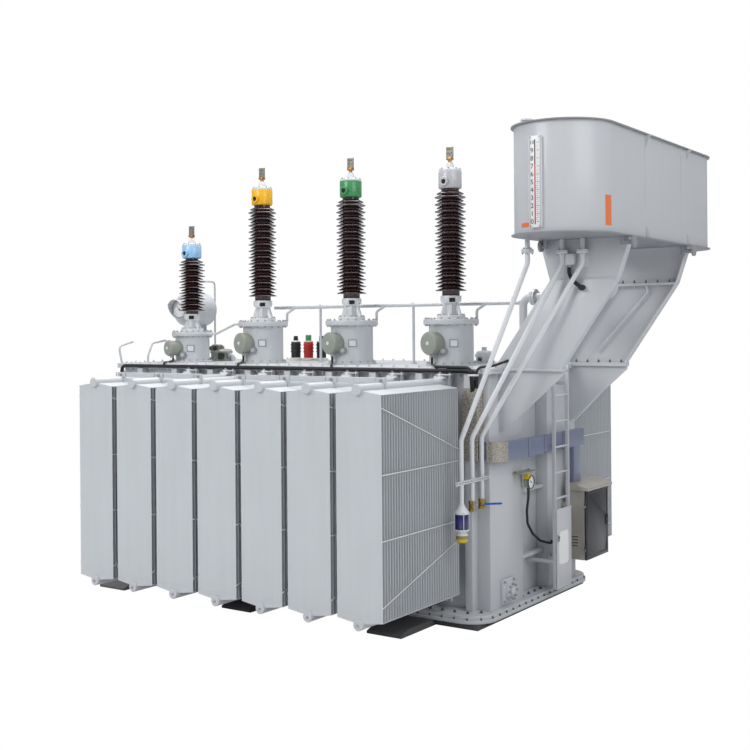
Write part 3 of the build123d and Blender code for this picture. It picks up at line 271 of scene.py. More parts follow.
# %% Rubber, scales, glass and plastics
RUBBER = finish("black_rubber", (26, 26, 28), Clouding=0.2, Gloss=0.5)
SCALE = finish("scale_white", (240, 240, 240), Clouding=0.02, Streaks=0.0, Gloss=0.3)
INK = finish("scale_ink", (40, 40, 44), Clouding=0.02, Streaks=0.0, Gloss=0.5)
RED = finish("float_red", (190, 40, 36), Clouding=0.02, Streaks=0.0)
BEADS = finish("navy_beads", (24, 18, 104), coat=0.9, bump=0.4, Clouding=0.3, Gloss=0.12, Grain=180.0)
OIL = finish("cup_oil", (150, 140, 62), coat=0.9, Clouding=0.2, Gloss=0.1)
AMBER = finish("yellow_plastic", (214, 190, 40), coat=0.2, Gloss=0.35)
# Dark glass, and also painted shade where it fills the louvre slots and the gap round the cabinet door.
DARK_GLASS_AND_SHADE = finish("dark_glass_and_painted_shade", (22, 22, 26), coat=0.9, Gloss=0.08)
print("finishes", len(bpy.data.materials))


# %% [markdown]
# ## Building pieces
# Every piece is built in a bmesh, in metres, at its real place. `keep` turns it into an object,
# smooths the faces that meet at shallow angles, and makes it ride on a body of the frame.

# %% Keep a piece
def put(name, data):
    """Add an object with this data to the scene."""
    made = bpy.data.objects.new(name, data)
    bpy.context.scene.collection.objects.link(made)
    return made


def keep(name, bm, materials, body=ROOT, stands_for=(), angle=35):
    """Make an object from a bmesh and fix it to a body."""
    bmesh.ops.recalc_face_normals(bm, faces=bm.faces)
    mesh = bpy.data.meshes.new(name)
    bm.to_mesh(mesh)
    bm.free()
    mesh.shade_smooth()
    mesh.set_sharp_from_angle(angle=math.radians(angle))
    for material in materials if isinstance(materials, list) else [materials]:
        mesh.materials.append(material)
    made = put(name, mesh)
    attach(made, body)
    if stands_for:
        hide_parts(*stands_for)


# %% Dress a node
def node_mesh(name):
    """A bmesh copy of a frame node with its doubled corners merged and flats joined."""
    bm = bmesh.new()
    bm.from_mesh(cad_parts[name].data)
    bmesh.ops.remove_doubles(bm, verts=bm.verts, dist=0.02 * MM)
    bmesh.ops.dissolve_limit(bm, angle_limit=math.radians(0.6), verts=bm.verts, edges=bm.edges)
    return bm


def soften(bm, width, steps=2, sharper=32):
    """Round the edges that are sharper than an angle in degrees."""
    limit = math.radians(sharper)
    picked = [e for e in bm.edges if len(e.link_faces) == 2 and e.calc_face_angle(0) > limit]
    bmesh.ops.bevel(bm, geom=picked, offset=width, offset_type="OFFSET", segments=steps, profile=0.5,
                    affect="EDGES", clamp_overlap=True, material=-1)


def dress(name, material, width, body=ROOT):
    """A node's own shape with rounded edges and a finish."""
    bm = node_mesh(name)
    soften(bm, width)
    keep("skin_" + name, bm, material, body, [name])


print("piece helpers ready")


# %% [markdown]
# ## Small shapes
# Boxes, round bars, turned profiles and swept tubes make up nearly all the details. Each
# helper adds to a bmesh that is already open, so many small pieces become one object. The
# index picks one of the finishes that the piece is kept with.

# %% Directions
UP, DOWN, RIGHT, FRONT = (0, 0, 1), (0, 0, -1), (1, 0, 0), (0, -1, 0)


def rise(height):
    """A step straight up."""
    return Vector((0, 0, height))


def ray(degrees):
    """A level direction, counted round from +X."""
    return Vector((math.cos(math.radians(degrees)), math.sin(math.radians(degrees)), 0))


def turn_to(axis):
    """A turn that takes +Z to an axis."""
    return Vector(UP).rotation_difference(Vector(axis)).to_matrix().to_4x4()


# %% Boxes, prisms and bars
def tint(verts, index):
    """Give the faces at some corners one of the piece's finishes."""
    for face in {f for v in verts for f in v.link_faces}:
        face.material_index = index


def add_box(bm, one, other, index=0):
    """A box between two opposite corners."""
    one, other = Vector(one), Vector(other)
    size = [abs(length) for length in other - one]
    place = Matrix.Translation((one + other) / 2) @ Matrix.Diagonal((*size, 1))
    tint(bmesh.ops.create_cube(bm, size=1, matrix=place)["verts"], index)


def add_prism(bm, corners, push):
    """A flat outline pushed along a direction to its full depth."""
    face = bm.faces.new([bm.verts.new(corner) for corner in corners])
    grown = bmesh.ops.extrude_face_region(bm, geom=[face], use_keep_orig=True)["geom"]
    tips = [item for item in grown if isinstance(item, bmesh.types.BMVert)]
    bmesh.ops.translate(bm, verts=tips, vec=push)


def add_rod(bm, start, end, radius, tip=None, sides=20, index=0):
    """A round bar between two points, or a cone where its tip has another radius."""
    start, end = Vector(start), Vector(end)
    place = Matrix.Translation((start + end) / 2) @ turn_to(end - start)
    made = bmesh.ops.create_cone(bm, cap_ends=True, segments=sides, radius1=radius,
                                 radius2=radius if tip is None else tip,
                                 depth=(end - start).length, matrix=place)
    tint(made["verts"], index)


def add_post(bm, x, y, low, high, radius, sides=20, index=0):
    """An upright bar between two heights."""
    add_rod(bm, (x, y, low), (x, y, high), radius, None, sides, index)


# %% Turned and curved shapes
def verts_since(bm, before):
    """The corners of all faces but the older ones."""
    return list({vert for face in set(bm.faces) - before for vert in face.verts})


def add_turned(bm, profile, centre, axis=UP, steps=40, index=0):
    """Spin a profile of (radius, height) points about an axis through a point."""
    before = set(bm.faces)
    chain = [bm.verts.new((radius, 0, height)) for radius, height in profile]
    edges = [bm.edges.new(pair) for pair in zip(chain, chain[1:])]
    bmesh.ops.spin(bm, geom=chain + edges, cent=(0, 0, 0), axis=UP, dvec=(0, 0, 0),
                   angle=math.tau, steps=steps, use_merge=True, use_duplicate=False)
    bmesh.ops.remove_doubles(bm, verts=verts_since(bm, before), dist=0.01 * MM)
    verts = verts_since(bm, before)
    tint(verts, index)
    bmesh.ops.transform(bm, matrix=Matrix.Translation(centre) @ turn_to(axis), verts=verts)


def add_arc_plate(bm, centre, radii, heights, first, last, steps, index=0):
    """A curved plate about an upright axis, between two radii, heights and angles."""
    before = set(bm.faces)
    (inner, outer), (low, high) = radii, heights
    ring = [bm.verts.new(centre + ray(first) * reach + rise(z))
            for reach, z in ((inner, low), (outer, low), (outer, high), (inner, high))]
    edges = [bm.edges.new((ring[k - 1], ring[k])) for k in range(4)]
    bmesh.ops.spin(bm, geom=ring + edges, cent=centre, axis=UP, angle=math.radians(last - first),
                   steps=steps)
    bmesh.ops.holes_fill(bm, edges=[edge for edge in bm.edges if edge.is_boundary], sides=4)
    tint(verts_since(bm, before), index)


# %% Tubes
def rounded_path(points, radius, steps=6):
    """A line of points with its corners turned into arcs."""
    points = [Vector(p) for p in points]
    path = [points[0]]
    for before, corner, after in zip(points, points[1:], points[2:]):
        back, ahead = (before - corner), (after - corner)
        reach = min(radius, back.length * 0.49, ahead.length * 0.49)
        first, last = corner + back.normalized() * reach, corner + ahead.normalized() * reach
        for step in range(steps + 1):
            t = step / steps
            path.append(first * (1 - t) ** 2 + corner * 2 * t * (1 - t) + last * t ** 2)
    return path + [points[-1]]


def add_tube(bm, points, radius, bend, sides=12, index=0):
    """A round tube along a line with rounded corners."""
    path = rounded_path(points, bend)
    turns = [math.tau * k / sides for k in range(sides)]
    rings, across = [], None
    for spot, here in enumerate(path):
        ahead = (path[min(spot + 1, len(path) - 1)] - path[max(spot - 1, 0)]).normalized()
        across = across or ahead.orthogonal().normalized()
        across = (across - ahead * across.dot(ahead)).normalized()
        other = ahead.cross(across)
        rings.append([bm.verts.new(here + (across * math.cos(turn) + other * math.sin(turn)) * radius)
                      for turn in turns])
    bm.faces.new(rings[0][::-1])
    bm.faces.new(rings[-1])
    for low, high in zip(rings, rings[1:]):
        for k in range(sides):
            bm.faces.new((low[k - 1], low[k], high[k], high[k - 1]))
    tint([vert for ring in rings for vert in ring], index)


# %% Bolts
def add_bolt(bm, place, axis, radius, height, index=0):
    """A washer, a six-sided head and a stud end standing on a surface."""
    foot, up = Vector(place), Vector(axis).normalized() * height
    add_rod(bm, foot, foot + up * 0.25, radius * 1.35, sides=12, index=index)
    add_rod(bm, foot + up * 0.25, foot + up, radius, radius * 0.94, 6, index)
    add_rod(bm, foot + up, foot + up * 1.6, radius * 0.5, radius * 0.42, 8, index)


def bolt_ring(bm, centre, axis, ring, count, radius, height, turn=0.0, index=0):
    """Bolts evenly round a circle, standing along its axis."""
    axis = Vector(axis).normalized()
    across = axis.orthogonal().normalized()
    other = axis.cross(across)
    for step in range(count):
        angle = turn + math.tau * step / count
        spot = Vector(centre) + (across * math.cos(angle) + other * math.sin(angle)) * ring
        add_bolt(bm, spot, axis, radius, height, index)


print("shape helpers ready")


# %% [markdown]
# ## Fixed sizes of the machine
# These are the sizes of the frame that the looks are built around, in metres. Where a node's
# own box gives a size, it is read from the frame instead.

# %% Layout
RAD_XS = [0.400 + 0.610 * (k - 3) for k in range(7)]
FIN_W, FIN_LOW, FIN_HIGH = 0.535, 0.360, 2.515
FIN_COUNT, FIN_STEP, FIN_T = 32, 0.046, 0.010
FIN_IN = 1.313
PIPE_R = 0.054
HEADER_LOW, HEADER_HIGH = FIN_LOW - 0.048, FIN_HIGH + 0.048
COVER_TOP = 2.720
PHASES = {"a": (-0.995, YELLOW), "b": (0.415, GREEN), "c": (1.825, SILVER)}
PHASE_XS = [x for x, _ in PHASES.values()]
NEUTRAL_X = -2.240
BUSHING_Y = -0.300
print("radiators at", [round(x, 3) for x in RAD_XS])


# %% [markdown]
# ## Camera, floor and light
# The camera was worked out from the photograph: a long lens from the front right, level with
# the cover. The floor and world look white to the camera, and the light is soft and even with
# a gentle key from the left, so a colour renders close to what was written.

# %% Camera
def place_camera():
    data = bpy.data.cameras.new("photo_camera")
    data.sensor_width = 36.0
    data.lens = 54.83
    data.shift_x, data.shift_y = -0.00177, -0.0616
    data.clip_end = 200
    spot = Matrix.Translation((8.549, -11.678, 3.146))
    turn = Matrix.Rotation(math.radians(34.332), 4, "Z")
    tip = Matrix.Rotation(math.radians(90), 4, "X")
    roll = Matrix.Rotation(math.radians(-0.459), 4, "Z")
    made = put("photo_camera", data)
    made.matrix_world = spot @ turn @ tip @ roll
    bpy.context.scene.camera = made


place_camera()


# %% White world
def white_to_camera(tree, lit, white, end):
    """Show one shader to the camera and let the other light the scene."""
    path = node(tree, "ShaderNodeLightPath", (0, 300))
    either = node(tree, "ShaderNodeMixShader", (250, 0))
    tree.links.new(path.outputs["Is Camera Ray"], either.inputs["Fac"])
    tree.links.new(lit.outputs[0], either.inputs[1])
    tree.links.new(white.outputs[0], either.inputs[2])
    tree.links.new(either.outputs["Shader"], end.inputs["Surface"])


def make_world():
    world = bpy.data.worlds.new("soft_sky")
    world.use_nodes = True
    tree = world.node_tree
    tree.nodes.clear()
    link = tree.links.new
    spot = node(tree, "ShaderNodeTexCoord", (-900, 0))
    split = node(tree, "ShaderNodeSeparateXYZ", (-700, 0))
    height = node(tree, "ShaderNodeMapRange", (-500, 0), From_Min=-0.35, From_Max=0.75)
    ramp = node(tree, "ShaderNodeMix", (-300, 0))
    ramp.data_type = "RGBA"
    ramp.inputs["A"].default_value = (0.34, 0.34, 0.35, 1)
    ramp.inputs["B"].default_value = (0.92, 0.95, 1.0, 1)
    light = node(tree, "ShaderNodeBackground", (0, -50), Strength=0.56)
    white = node(tree, "ShaderNodeBackground", (0, -200), Color=(1, 1, 1, 1), Strength=1.0)
    link(spot.outputs["Generated"], split.inputs["Vector"])
    link(split.outputs["Z"], height.inputs["Value"])
    link(height.outputs["Result"], ramp.inputs["Factor"])
    link(ramp.outputs["Result"], light.inputs["Color"])
    white_to_camera(tree, light, white, node(tree, "ShaderNodeOutputWorld", (450, 0)))
    bpy.context.scene.world = world


make_world()


# %% Floor and lamps
def make_floor():
    bm = bmesh.new()
    bmesh.ops.create_grid(bm, x_segments=1, y_segments=1, size=60)
    mesh = bpy.data.meshes.new("floor")
    bm.to_mesh(mesh)
    bm.free()
    material = bpy.data.materials.new("floor_white")
    material.use_nodes = True
    tree = material.node_tree
    tree.nodes.clear()
    plain = node(tree, "ShaderNodeBsdfDiffuse", (0, 0), Color=(0.62, 0.62, 0.63, 1))
    white = node(tree, "ShaderNodeEmission", (0, -150), Color=(1, 1, 1, 1), Strength=1.0)
    white_to_camera(tree, plain, white, node(tree, "ShaderNodeOutputMaterial", (450, 0)))
    mesh.materials.append(material)
    put("floor", mesh)


def add_lamp(name, place, aim, size, power):
    data = bpy.data.lights.new(name, "AREA")
    data.size = size
    data.energy = power
    made = put(name, data)
    made.location = place
    made.rotation_euler = (Vector(aim) - Vector(place)).to_track_quat("-Z", "Y").to_euler()


make_floor()
add_lamp("key", (-5.0, -17.0, 12.0), aim=(0, 0, 2.2), size=8.0, power=1280)
add_lamp("fill", (14.0, -5.0, 9.0), aim=(1.0, 0, 2.5), size=9.0, power=600)
add_lamp("top", (-1.0, 2.0, 15.0), aim=(0, 0, 2.7), size=10.0, power=1650)
bpy.context.scene.view_settings.view_transform = "Standard"
print("camera, floor and lamps placed")


# %% [markdown]
# ## Radiators
# Each radiator is a row of thin pressed panels between two header pipes. A panel's upright
# edges are pressed together, so they are thinner than its middle and catch the light as fine
# lines. One outline, pushed up to a panel, is repeated along both rows, front and rear.

# %% One panel
PRESSED_EDGE = ((0.012, 0.5), (0.005, 0.46), (0.0, 0.14))


def add_panel(bm, x, y):
    """A pressed panel: a full middle whose upright edges step down to a thin seam."""
    edge = [(FIN_W / 2 - inset, -share * FIN_T) for inset, share in PRESSED_EDGE]
    edge += [(reach, -depth) for reach, depth in reversed(edge)]
    outline = edge + [(-reach, depth) for reach, depth in reversed(edge)]
    foot = [(x + reach, y + depth, FIN_LOW) for reach, depth in outline]
    add_prism(bm, foot, rise(FIN_HIGH - FIN_LOW))


# %% Radiator rows
def make_radiator(number, x):
    bm = bmesh.new()
    for k in range(FIN_COUNT):
        y = FIN_IN + FIN_T / 2 + FIN_STEP * k
        add_panel(bm, x, -y)
        add_panel(bm, x, y)
    keep(f"radiator_{number}", bm, FIN_PAINT, stands_for=[f"radiator_pair_{number}"])


for number, x in enumerate(RAD_XS, start=1):
    make_radiator(number, x)
print("radiators", len(RAD_XS), "pairs of", FIN_COUNT, "panels")


# %% [markdown]
# ## Nodes that keep their own shape
# Plates, pipes and frames already have their true form in the frame. Each gets a copy with
# small rounded edges, because a real plate edge catches a thin line of light. The table gives
# the width of that rounding in millimetres.

# %% Dress the plain nodes
PLAIN = (
    (PAINT, "grey_paint", {
        "base_flange": 4, "tank_flange": 4, "tank_body": 6, "tank_end_boxes": 6, "tank_stiffeners": 4,
        "tank_top_flange": 4, "tank_cover": 4, "radiator_tie_bars": 3, "radiator_headers": 5,
        "radiator_valves": 4, "conservator_shell": 3, "support_brackets": 3, "support_columns": 2,
        "support_heads": 2, "pipe_bar": 1.5, "oil_pipes": 3, "gas_pipe": 2, "turrets": 4,
        "tap_changer_drum": 3, "vent_pipes": 1, "ladder_rails": 1.5, "ladder_rungs": 1,
        "drain_flange": 3}),
    # These grey-painted pieces take the lighter white paint: a painted highlight that sets them off from the
    # parts behind.
    (WHITE_PAINT_AND_HIGHLIGHT, "grey_paint", {
        "radiator_side_ties": 1.5, "conservator_pipes": 2, "bushing_bases": 4, "breather_fittings": 2}),
    # The conservator's lid and floor plates are darker than the grey paint.
    (RIM, "grey_paint", {"conservator_plates": 2}),
    (DARK_STEEL, "dark_steel", {"base_skids": 6}),
    (CAST, "cast_alloy", {"gas_relay": 4, "tap_changer_head": 3, "ct_boxes": 8}),
    (PAINT, "instrument_grey", {"drum_gauge": 2}),
    (CAST, "instrument_grey", {"thermometer": 2}),
    (RUBBER, "black_rubber", {"control_cables": 1, "thermometer_cable": 1}),
    (TRAY, "tray_grey", {"cable_tray": 4}),
    (STAINLESS, "stainless", {"cabinet_body": 2, "cabinet_roof": 2}),
    (WHITE_GLAZE, "white_porcelain", {"lv_bushings": 2}),
    (SCALE, "gauge_white", {"oil_level_gauge": 2}),
    (BEADS, "navy_glass", {"breather_glass": 2}),
    (OIL, "oil_cup", {"breather_cup": 2}),
    (VALVE_BRASS, "brass", {"drain_cocks": 2}),
)
for material, slot, widths in PLAIN:
    for name, width in widths.items():
        dress(name, material, width * MM)
# The cabinet door takes the darkened stainless, a painted dark reflection.
dress("cabinet_door", DARKENED_DOOR_STEEL, 2 * MM, "cabinet_leaf")
dress("ladder_guard", PAINT, 1.5 * MM, "guard_leaf")
dress("valve_lever", LEVER, 2 * MM, "lever")
print("dressed", sum(len(widths) for _, _, widths in PLAIN) + 3, "nodes")


# %% [markdown]
# ## Insulators
# A bushing carries the high voltage through the cover. Its porcelain has wide and narrow
# sheds in turn, each drooping a little so that rain drips off. The profile is drawn once from
# the core outwards, with a round lip on every shed, and spun about the upright axis.

# %% Porcelain sheds
HIGH = {"core": 0.102, "wide": 0.181, "narrow": 0.158, "sheds": 14, "pitch": 0.0825,
        "plain": 0.057, "low": 3.520, "high": 4.751}
NEUTRAL = {"core": 0.084, "wide": 0.176, "narrow": 0.153, "sheds": 9, "pitch": 0.077,
           "plain": 0.0435, "low": 3.365, "high": 4.116}


def shed_profile(kind):
    """Radius and height points of a whole insulator, from its foot to its head."""
    core = kind["core"]
    points = [(0.0, 0.0), (core, 0.0)]
    for k in range(2 * kind["sheds"]):
        reach = kind["wide"] if k % 2 == 0 else kind["narrow"]
        foot = kind["plain"] + k * kind["pitch"] / 2
        points += [(core, foot + 0.008), (core + 0.006, foot + 0.0135), (reach - 0.005, foot - 0.0005),
                   (reach, foot + 0.004), (reach - 0.003, foot + 0.009), (core + 0.010, foot + 0.031),
                   (core, foot + 0.037)]
    top = kind["high"] - kind["low"]
    return points + [(core, top), (0.0, top)]


def make_porcelains():
    bm = bmesh.new()
    for x, kind in [(x, HIGH) for x in PHASE_XS] + [(NEUTRAL_X, NEUTRAL)]:
        add_turned(bm, shed_profile(kind), (x, BUSHING_Y, kind["low"]), steps=44)
    keep("porcelain_sheds", bm, GLAZE, stands_for=["porcelains"], angle=50)


make_porcelains()
print("sheds spun on four insulators")


# %% [markdown]
# ## Bushing heads
# Each head is a painted drum with a rolled lower edge and a white bolted plate. A round sight
# glass shows the oil level. The phase is told by the drum's colour alone.

# %% Coloured heads
def make_head(word, x, low, radius, tall, material):
    bm = bmesh.new()
    foot = Vector((x, BUSHING_Y, low))
    drum, plate = tall - 0.036, radius - 0.004
    add_turned(bm, [(0.0, 0.0), (radius - 0.022, 0.0), (radius - 0.011, 0.003), (radius - 0.003, 0.010),
                    (radius, 0.022), (radius, drum - 0.006), (plate, drum), (0.0, drum)], foot)
    add_turned(bm, [(0.0, drum), (plate, drum), (plate, drum + 0.022), (plate - 0.004, drum + 0.026),
                    (plate - 0.030, drum + 0.028), (plate - 0.036, tall), (0.0, tall)], foot, index=1)
    glass = foot + Vector((0, -radius - 0.010, 0.32 * tall))
    add_turned(bm, [(0.0, 0.0), (0.044, 0.0), (0.044, 0.024), (0.053, 0.026), (0.053, 0.042), (0.050, 0.045),
                    (0.030, 0.045), (0.028, 0.040)], glass + Vector((0, 0.034, 0)), FRONT, 24)
    add_rod(bm, glass, glass + Vector(FRONT) * 0.006, 0.029, sides=24, index=2)
    for step in range(8):
        spot = foot + ray(45 * step + 22.5) * (plate - 0.014) + rise(drum + 0.026)
        add_bolt(bm, spot, UP, 0.009, 0.010, index=3)
    keep(f"head_{word}", bm, [material, WHITE_PAINT_AND_HIGHLIGHT, DARK_GLASS_AND_SHADE, ZINC],
         stands_for=[f"bushing_cap_{word}"])


for word, slot in (("a", "yellow_paint"), ("b", "green_paint"), ("c", "silver_paint")):
    make_head(word, PHASES[word][0], HIGH["high"], 0.134, 0.237, PHASES[word][1])
make_head("neutral", NEUTRAL_X, NEUTRAL["high"], 0.129, 0.205, BLUE)
print("heads a, b, c and neutral")


# %% [markdown]
# ## Terminals
# On top a white stub carries a brass clamp and a tinned palm with four holes. The node has
# the right shape already, so its faces only need three finishes, chosen by their height.

# %% Terminal finishes
def stub_at(x):
    """The foot and height of the stub at a place along the cover, and its clamp bolts' level."""
    return (4.321, 0.084, 4.421) if x < -1.8 else (4.988, 0.098, 5.102)


def make_terminals():
    bm = node_mesh("terminals")
    soften(bm, 1.5 * MM)
    for face in bm.faces:
        spot = face.calc_center_median()
        foot, tall, _ = stub_at(spot.x)
        level = spot.z - foot
        face.material_index = 0 if level < 0.0705 else 1 if level < tall + 0.0325 else 2
    for x in PHASE_XS + [NEUTRAL_X]:
        foot, _, clamp = stub_at(x)
        add_turned(bm, [(0.018, 0.0), (0.048, 0.0), (0.048, 0.034), (0.042, 0.040), (0.042, 0.056),
                        (0.018, 0.056)], (x, BUSHING_Y, foot), steps=28)
        for side in (-1, 1):
            add_bolt(bm, (x + side * 0.031, BUSHING_Y, clamp), (side, 0, 0), 0.010, 0.012, index=1)
    keep("terminal_palms", bm, [WHITE_PAINT_AND_HIGHLIGHT, BRASS, TINNED], stands_for=["terminals"])


make_terminals()
print("terminals finished by height")


# %% [markdown]
# ## Turret bolts and plates
# Flanges are held by rings of bolts. Every ring is one loop in the same bmesh, so all the
# turret bolts make a single object. Small bare plates mark each drum and each clamping ring.

# %% Turret bolts
def each_turret(phase, neutral):
    """The place along the cover and the sizes of every turret."""
    return [(x, *phase) for x in PHASE_XS] + [(NEUTRAL_X, *neutral)]


def make_turret_bolts():
    bm = bmesh.new()
    for x, drum, flange, top, tall, plate in each_turret(
            (0.258, 0.320, 3.250, 0.530, 0.165), (0.228, 0.275, 3.125, 0.405, 0.150)):
        middle = Vector((x, BUSHING_Y, top))
        bolt_ring(bm, middle, UP, flange - 0.024, 20, 0.013, 0.014)
        bolt_ring(bm, middle - rise(0.060), DOWN, flange - 0.024, 20, 0.013, 0.012)
        bolt_ring(bm, middle + rise(0.045), UP, plate - 0.016, 12, 0.010, 0.012, turn=0.26)
        bolt_ring(bm, middle - rise(tall - 0.020), UP, drum + 0.021, 16, 0.011, 0.013, turn=0.2)
    keep("turret_bolts", bm, ZINC)


# %% Turret plates and box lids
PLATE_TURN, BOSS_TURN, LID_TURN = -53, -79, -104


def add_plate(bm, spot, wide, tall, index):
    """A small upright plate that looks out to the front right."""
    size = Matrix.Diagonal((0.012, wide, tall, 1))
    place = Matrix.Translation(spot) @ Matrix.Rotation(math.radians(PLATE_TURN), 4, "Z") @ size
    tint(bmesh.ops.create_cube(bm, size=1, matrix=place)["verts"], index)


def make_turret_plates():
    """A framed plate and a round boss on each turret, and a dark plate on each bushing's foot."""
    bm = bmesh.new()
    out, low_out = ray(PLATE_TURN), ray(BOSS_TURN)
    for x, drum, level, ring, mark in each_turret((0.258, 2.975, 0.120, 3.470), (0.228, 2.905, 0.108, 3.320)):
        middle = Vector((x, BUSHING_Y, level))
        add_plate(bm, middle + out * drum, 0.100, 0.090, 2)
        add_plate(bm, middle + out * (drum + 0.004), 0.078, 0.068, 3)
        add_plate(bm, middle + out * ring + rise(mark - level), 0.068, 0.048, 1)
        boss = middle + low_out * (drum - 0.010) - rise(0.085)
        add_rod(bm, boss, boss + low_out * 0.040, 0.048, sides=28, index=2)
        add_rod(bm, boss + low_out * 0.039, boss + low_out * 0.047, 0.026)
    keep("turret_plates", bm, [PAINT, DARK_GLASS_AND_SHADE, RIM, WHITE_PAINT_AND_HIGHLIGHT])


def make_box_details():
    """The middle bolt, the lid rim and the cable gland of each round terminal box."""
    bm = bmesh.new()
    out = ray(LID_TURN)
    for x, level, reach, size in each_turret((2.975, 0.387, 0.128), (2.910, 0.402, 0.099)):
        middle = Vector((x, BUSHING_Y, level))
        rim = size + 0.007
        add_turned(bm, [(0.0, 0.0), (0.022, 0.0), (0.018, 0.008), (0.0, 0.012)], middle + out * reach, out, 20)
        add_turned(bm, [(size, 0.0), (rim, 0.002), (rim, 0.016), (size, 0.018)],
                   middle + out * (reach - 0.046), out, index=1)
        gland = middle + out * (reach - 0.072) - rise(size - 0.012)
        add_rod(bm, gland, gland - rise(0.042), 0.021, sides=8, index=2)
    keep("terminal_box_details", bm, [WHITE_PAINT_AND_HIGHLIGHT, CAST, ZINC])


make_turret_bolts()
make_turret_plates()
make_box_details()
print("turret bolts, plates and box lids")


# %% [markdown]
# ## Bolts round the flanges
# The base, the tank and the cover are held by long rows of bolts. The rows follow a rectangle
# with round corners, so one helper walks round such an outline at an even step.

# %% Walk round an outline
def outline_points(half_x, half_y, corner, step):
    """Even points round a rectangle with round corners."""
    path = []
    for quarter, (right, back) in enumerate(((1, 1), (-1, 1), (-1, -1), (1, -1))):
        centre = Vector((right * (half_x - corner), back * (half_y - corner), 0))
        path += [centre + ray(90 * quarter + turn) * corner for turn in range(0, 91, 10)]
    path.append(path[0])
    spots, left = [], step / 2
    for start, end in zip(path, path[1:]):
        length = (end - start).length
        while left < length:
            spots.append(start.lerp(end, left / length))
            left += step
        left -= length
    return spots


# %% Base and cover bolts
def make_base_bolts():
    bm = bmesh.new()
    for spot in outline_points(2.695, 1.270, corner=0.215, step=0.150):
        add_bolt(bm, spot + rise(0.150), UP, 0.014, 0.018)
    for spot in outline_points(2.808, 1.383, corner=0.288, step=0.150):
        add_bolt(bm, spot + rise(0.110), UP, 0.009, 0.016)
    keep("base_bolts", bm, DARK_STEEL)


def make_cover_bolts():
    bm = bmesh.new()
    for spot in outline_points(2.783, 1.113, corner=0.040, step=0.165):
        add_bolt(bm, spot + rise(COVER_TOP), UP, 0.014, 0.016)
        add_bolt(bm, spot + rise(COVER_TOP - 0.060), DOWN, 0.014, 0.018)
    keep("cover_bolts", bm, PAINT)


make_base_bolts()
make_cover_bolts()
print("bolt rows on base and cover")


# %% [markdown]
# ## Radiator fittings
# Two flat bars tie the header pipes together, held by bolts and by straps beside each pipe.
# Between every radiator and the tank is a shut-off valve with a short hand lever on top. A
# cap closes the outer end of each header pipe, and a drain plug sits in the lower one.

# %% Tie bar clamps
def make_tie_clamps():
    bm = bmesh.new()
    for side in (-1, 1):
        for x in RAD_XS:
            add_bolt(bm, (x, side * 2.356, 2.640), (0, side, 0), 0.014, 0.018, index=1)
            for leg in (x - 0.070, x + 0.070):
                add_post(bm, leg, side * 2.363, 2.552, 2.662, 0.007, sides=8)
                add_post(bm, leg, side * 2.363, 2.598, 2.610, 0.013, sides=6)
    keep("tie_clamps", bm, [PAINT, ZINC])


# %% Valve levers and flange bolts
def square(half):
    """The four corners of a square about a middle."""
    return [(across, up) for across in (-half, half) for up in (-half, half)]


def make_valve_fittings():
    bm = bmesh.new()
    top = HEADER_HIGH + PIPE_R
    for side in (-1, 1):
        y = side * 1.226
        for x in RAD_XS:
            add_box(bm, (x - 0.060, y - 0.034, top - 0.012), (x + 0.060, y + 0.034, top + 0.016))
            add_post(bm, x, y, top + 0.016, top + 0.046, 0.022, sides=16)
            add_post(bm, x, y, top + 0.046, top + 0.064, 0.013, sides=6, index=1)
            add_box(bm, (x - 0.030, y - 0.020, top + 0.030), (x + 0.140, y + 0.020, top + 0.040))
            add_post(bm, x + 0.118, y, top + 0.004, top + 0.056, 0.011, sides=10, index=1)
            for level in (HEADER_HIGH, HEADER_LOW):
                for dx, dz in square(0.072):
                    add_bolt(bm, (x + dx, side * 1.185, level + dz), (0, side, 0), 0.013, 0.016, index=1)
    keep("valve_fittings", bm, [WHITE_PAINT_AND_HIGHLIGHT, ZINC])


# %% Header caps and seams
def make_header_caps():
    bm = bmesh.new()
    cap = [(0.0, 0.007), (0.051, 0.007), (0.055, 0.003), (0.055, -0.010), (0.053, -0.012)]
    half = FIN_W / 2 - 0.014
    for side in (-1, 1):
        end = side * 2.775
        for x in RAD_XS:
            for level in (HEADER_HIGH, HEADER_LOW):
                add_turned(bm, cap, (x, end, level), (0, side, 0), 28)
            add_rod(bm, (x, end, HEADER_LOW), (x, end + side * 0.022, HEADER_LOW), 0.012, sides=6, index=1)
            for seam in (FIN_LOW + 0.055, FIN_HIGH - 0.055):
                add_box(bm, (x - half, side * 2.7470, seam - 0.004), (x + half, side * 2.7512, seam + 0.004), 2)
    keep("header_caps", bm, [PAINT, ZINC, FIN_PAINT])


make_tie_clamps()
make_valve_fittings()
make_header_caps()
print("radiator fittings on both sides")


# %% [markdown]
# ## Conservator details
# The high oil tank is a rolled shell between a lid and a floor. Joint strips cover its upright
# seams, lugs at the rims carry it when it is lifted, and two orange plates are left bare.

# %% Seams, lugs and plates of the shell
CONS_X, CONS_R, CONS_END = 3.760, 0.490, -1.375
CONS_LOW, CONS_HIGH, LID_TOP = 4.057, 5.104, 5.116


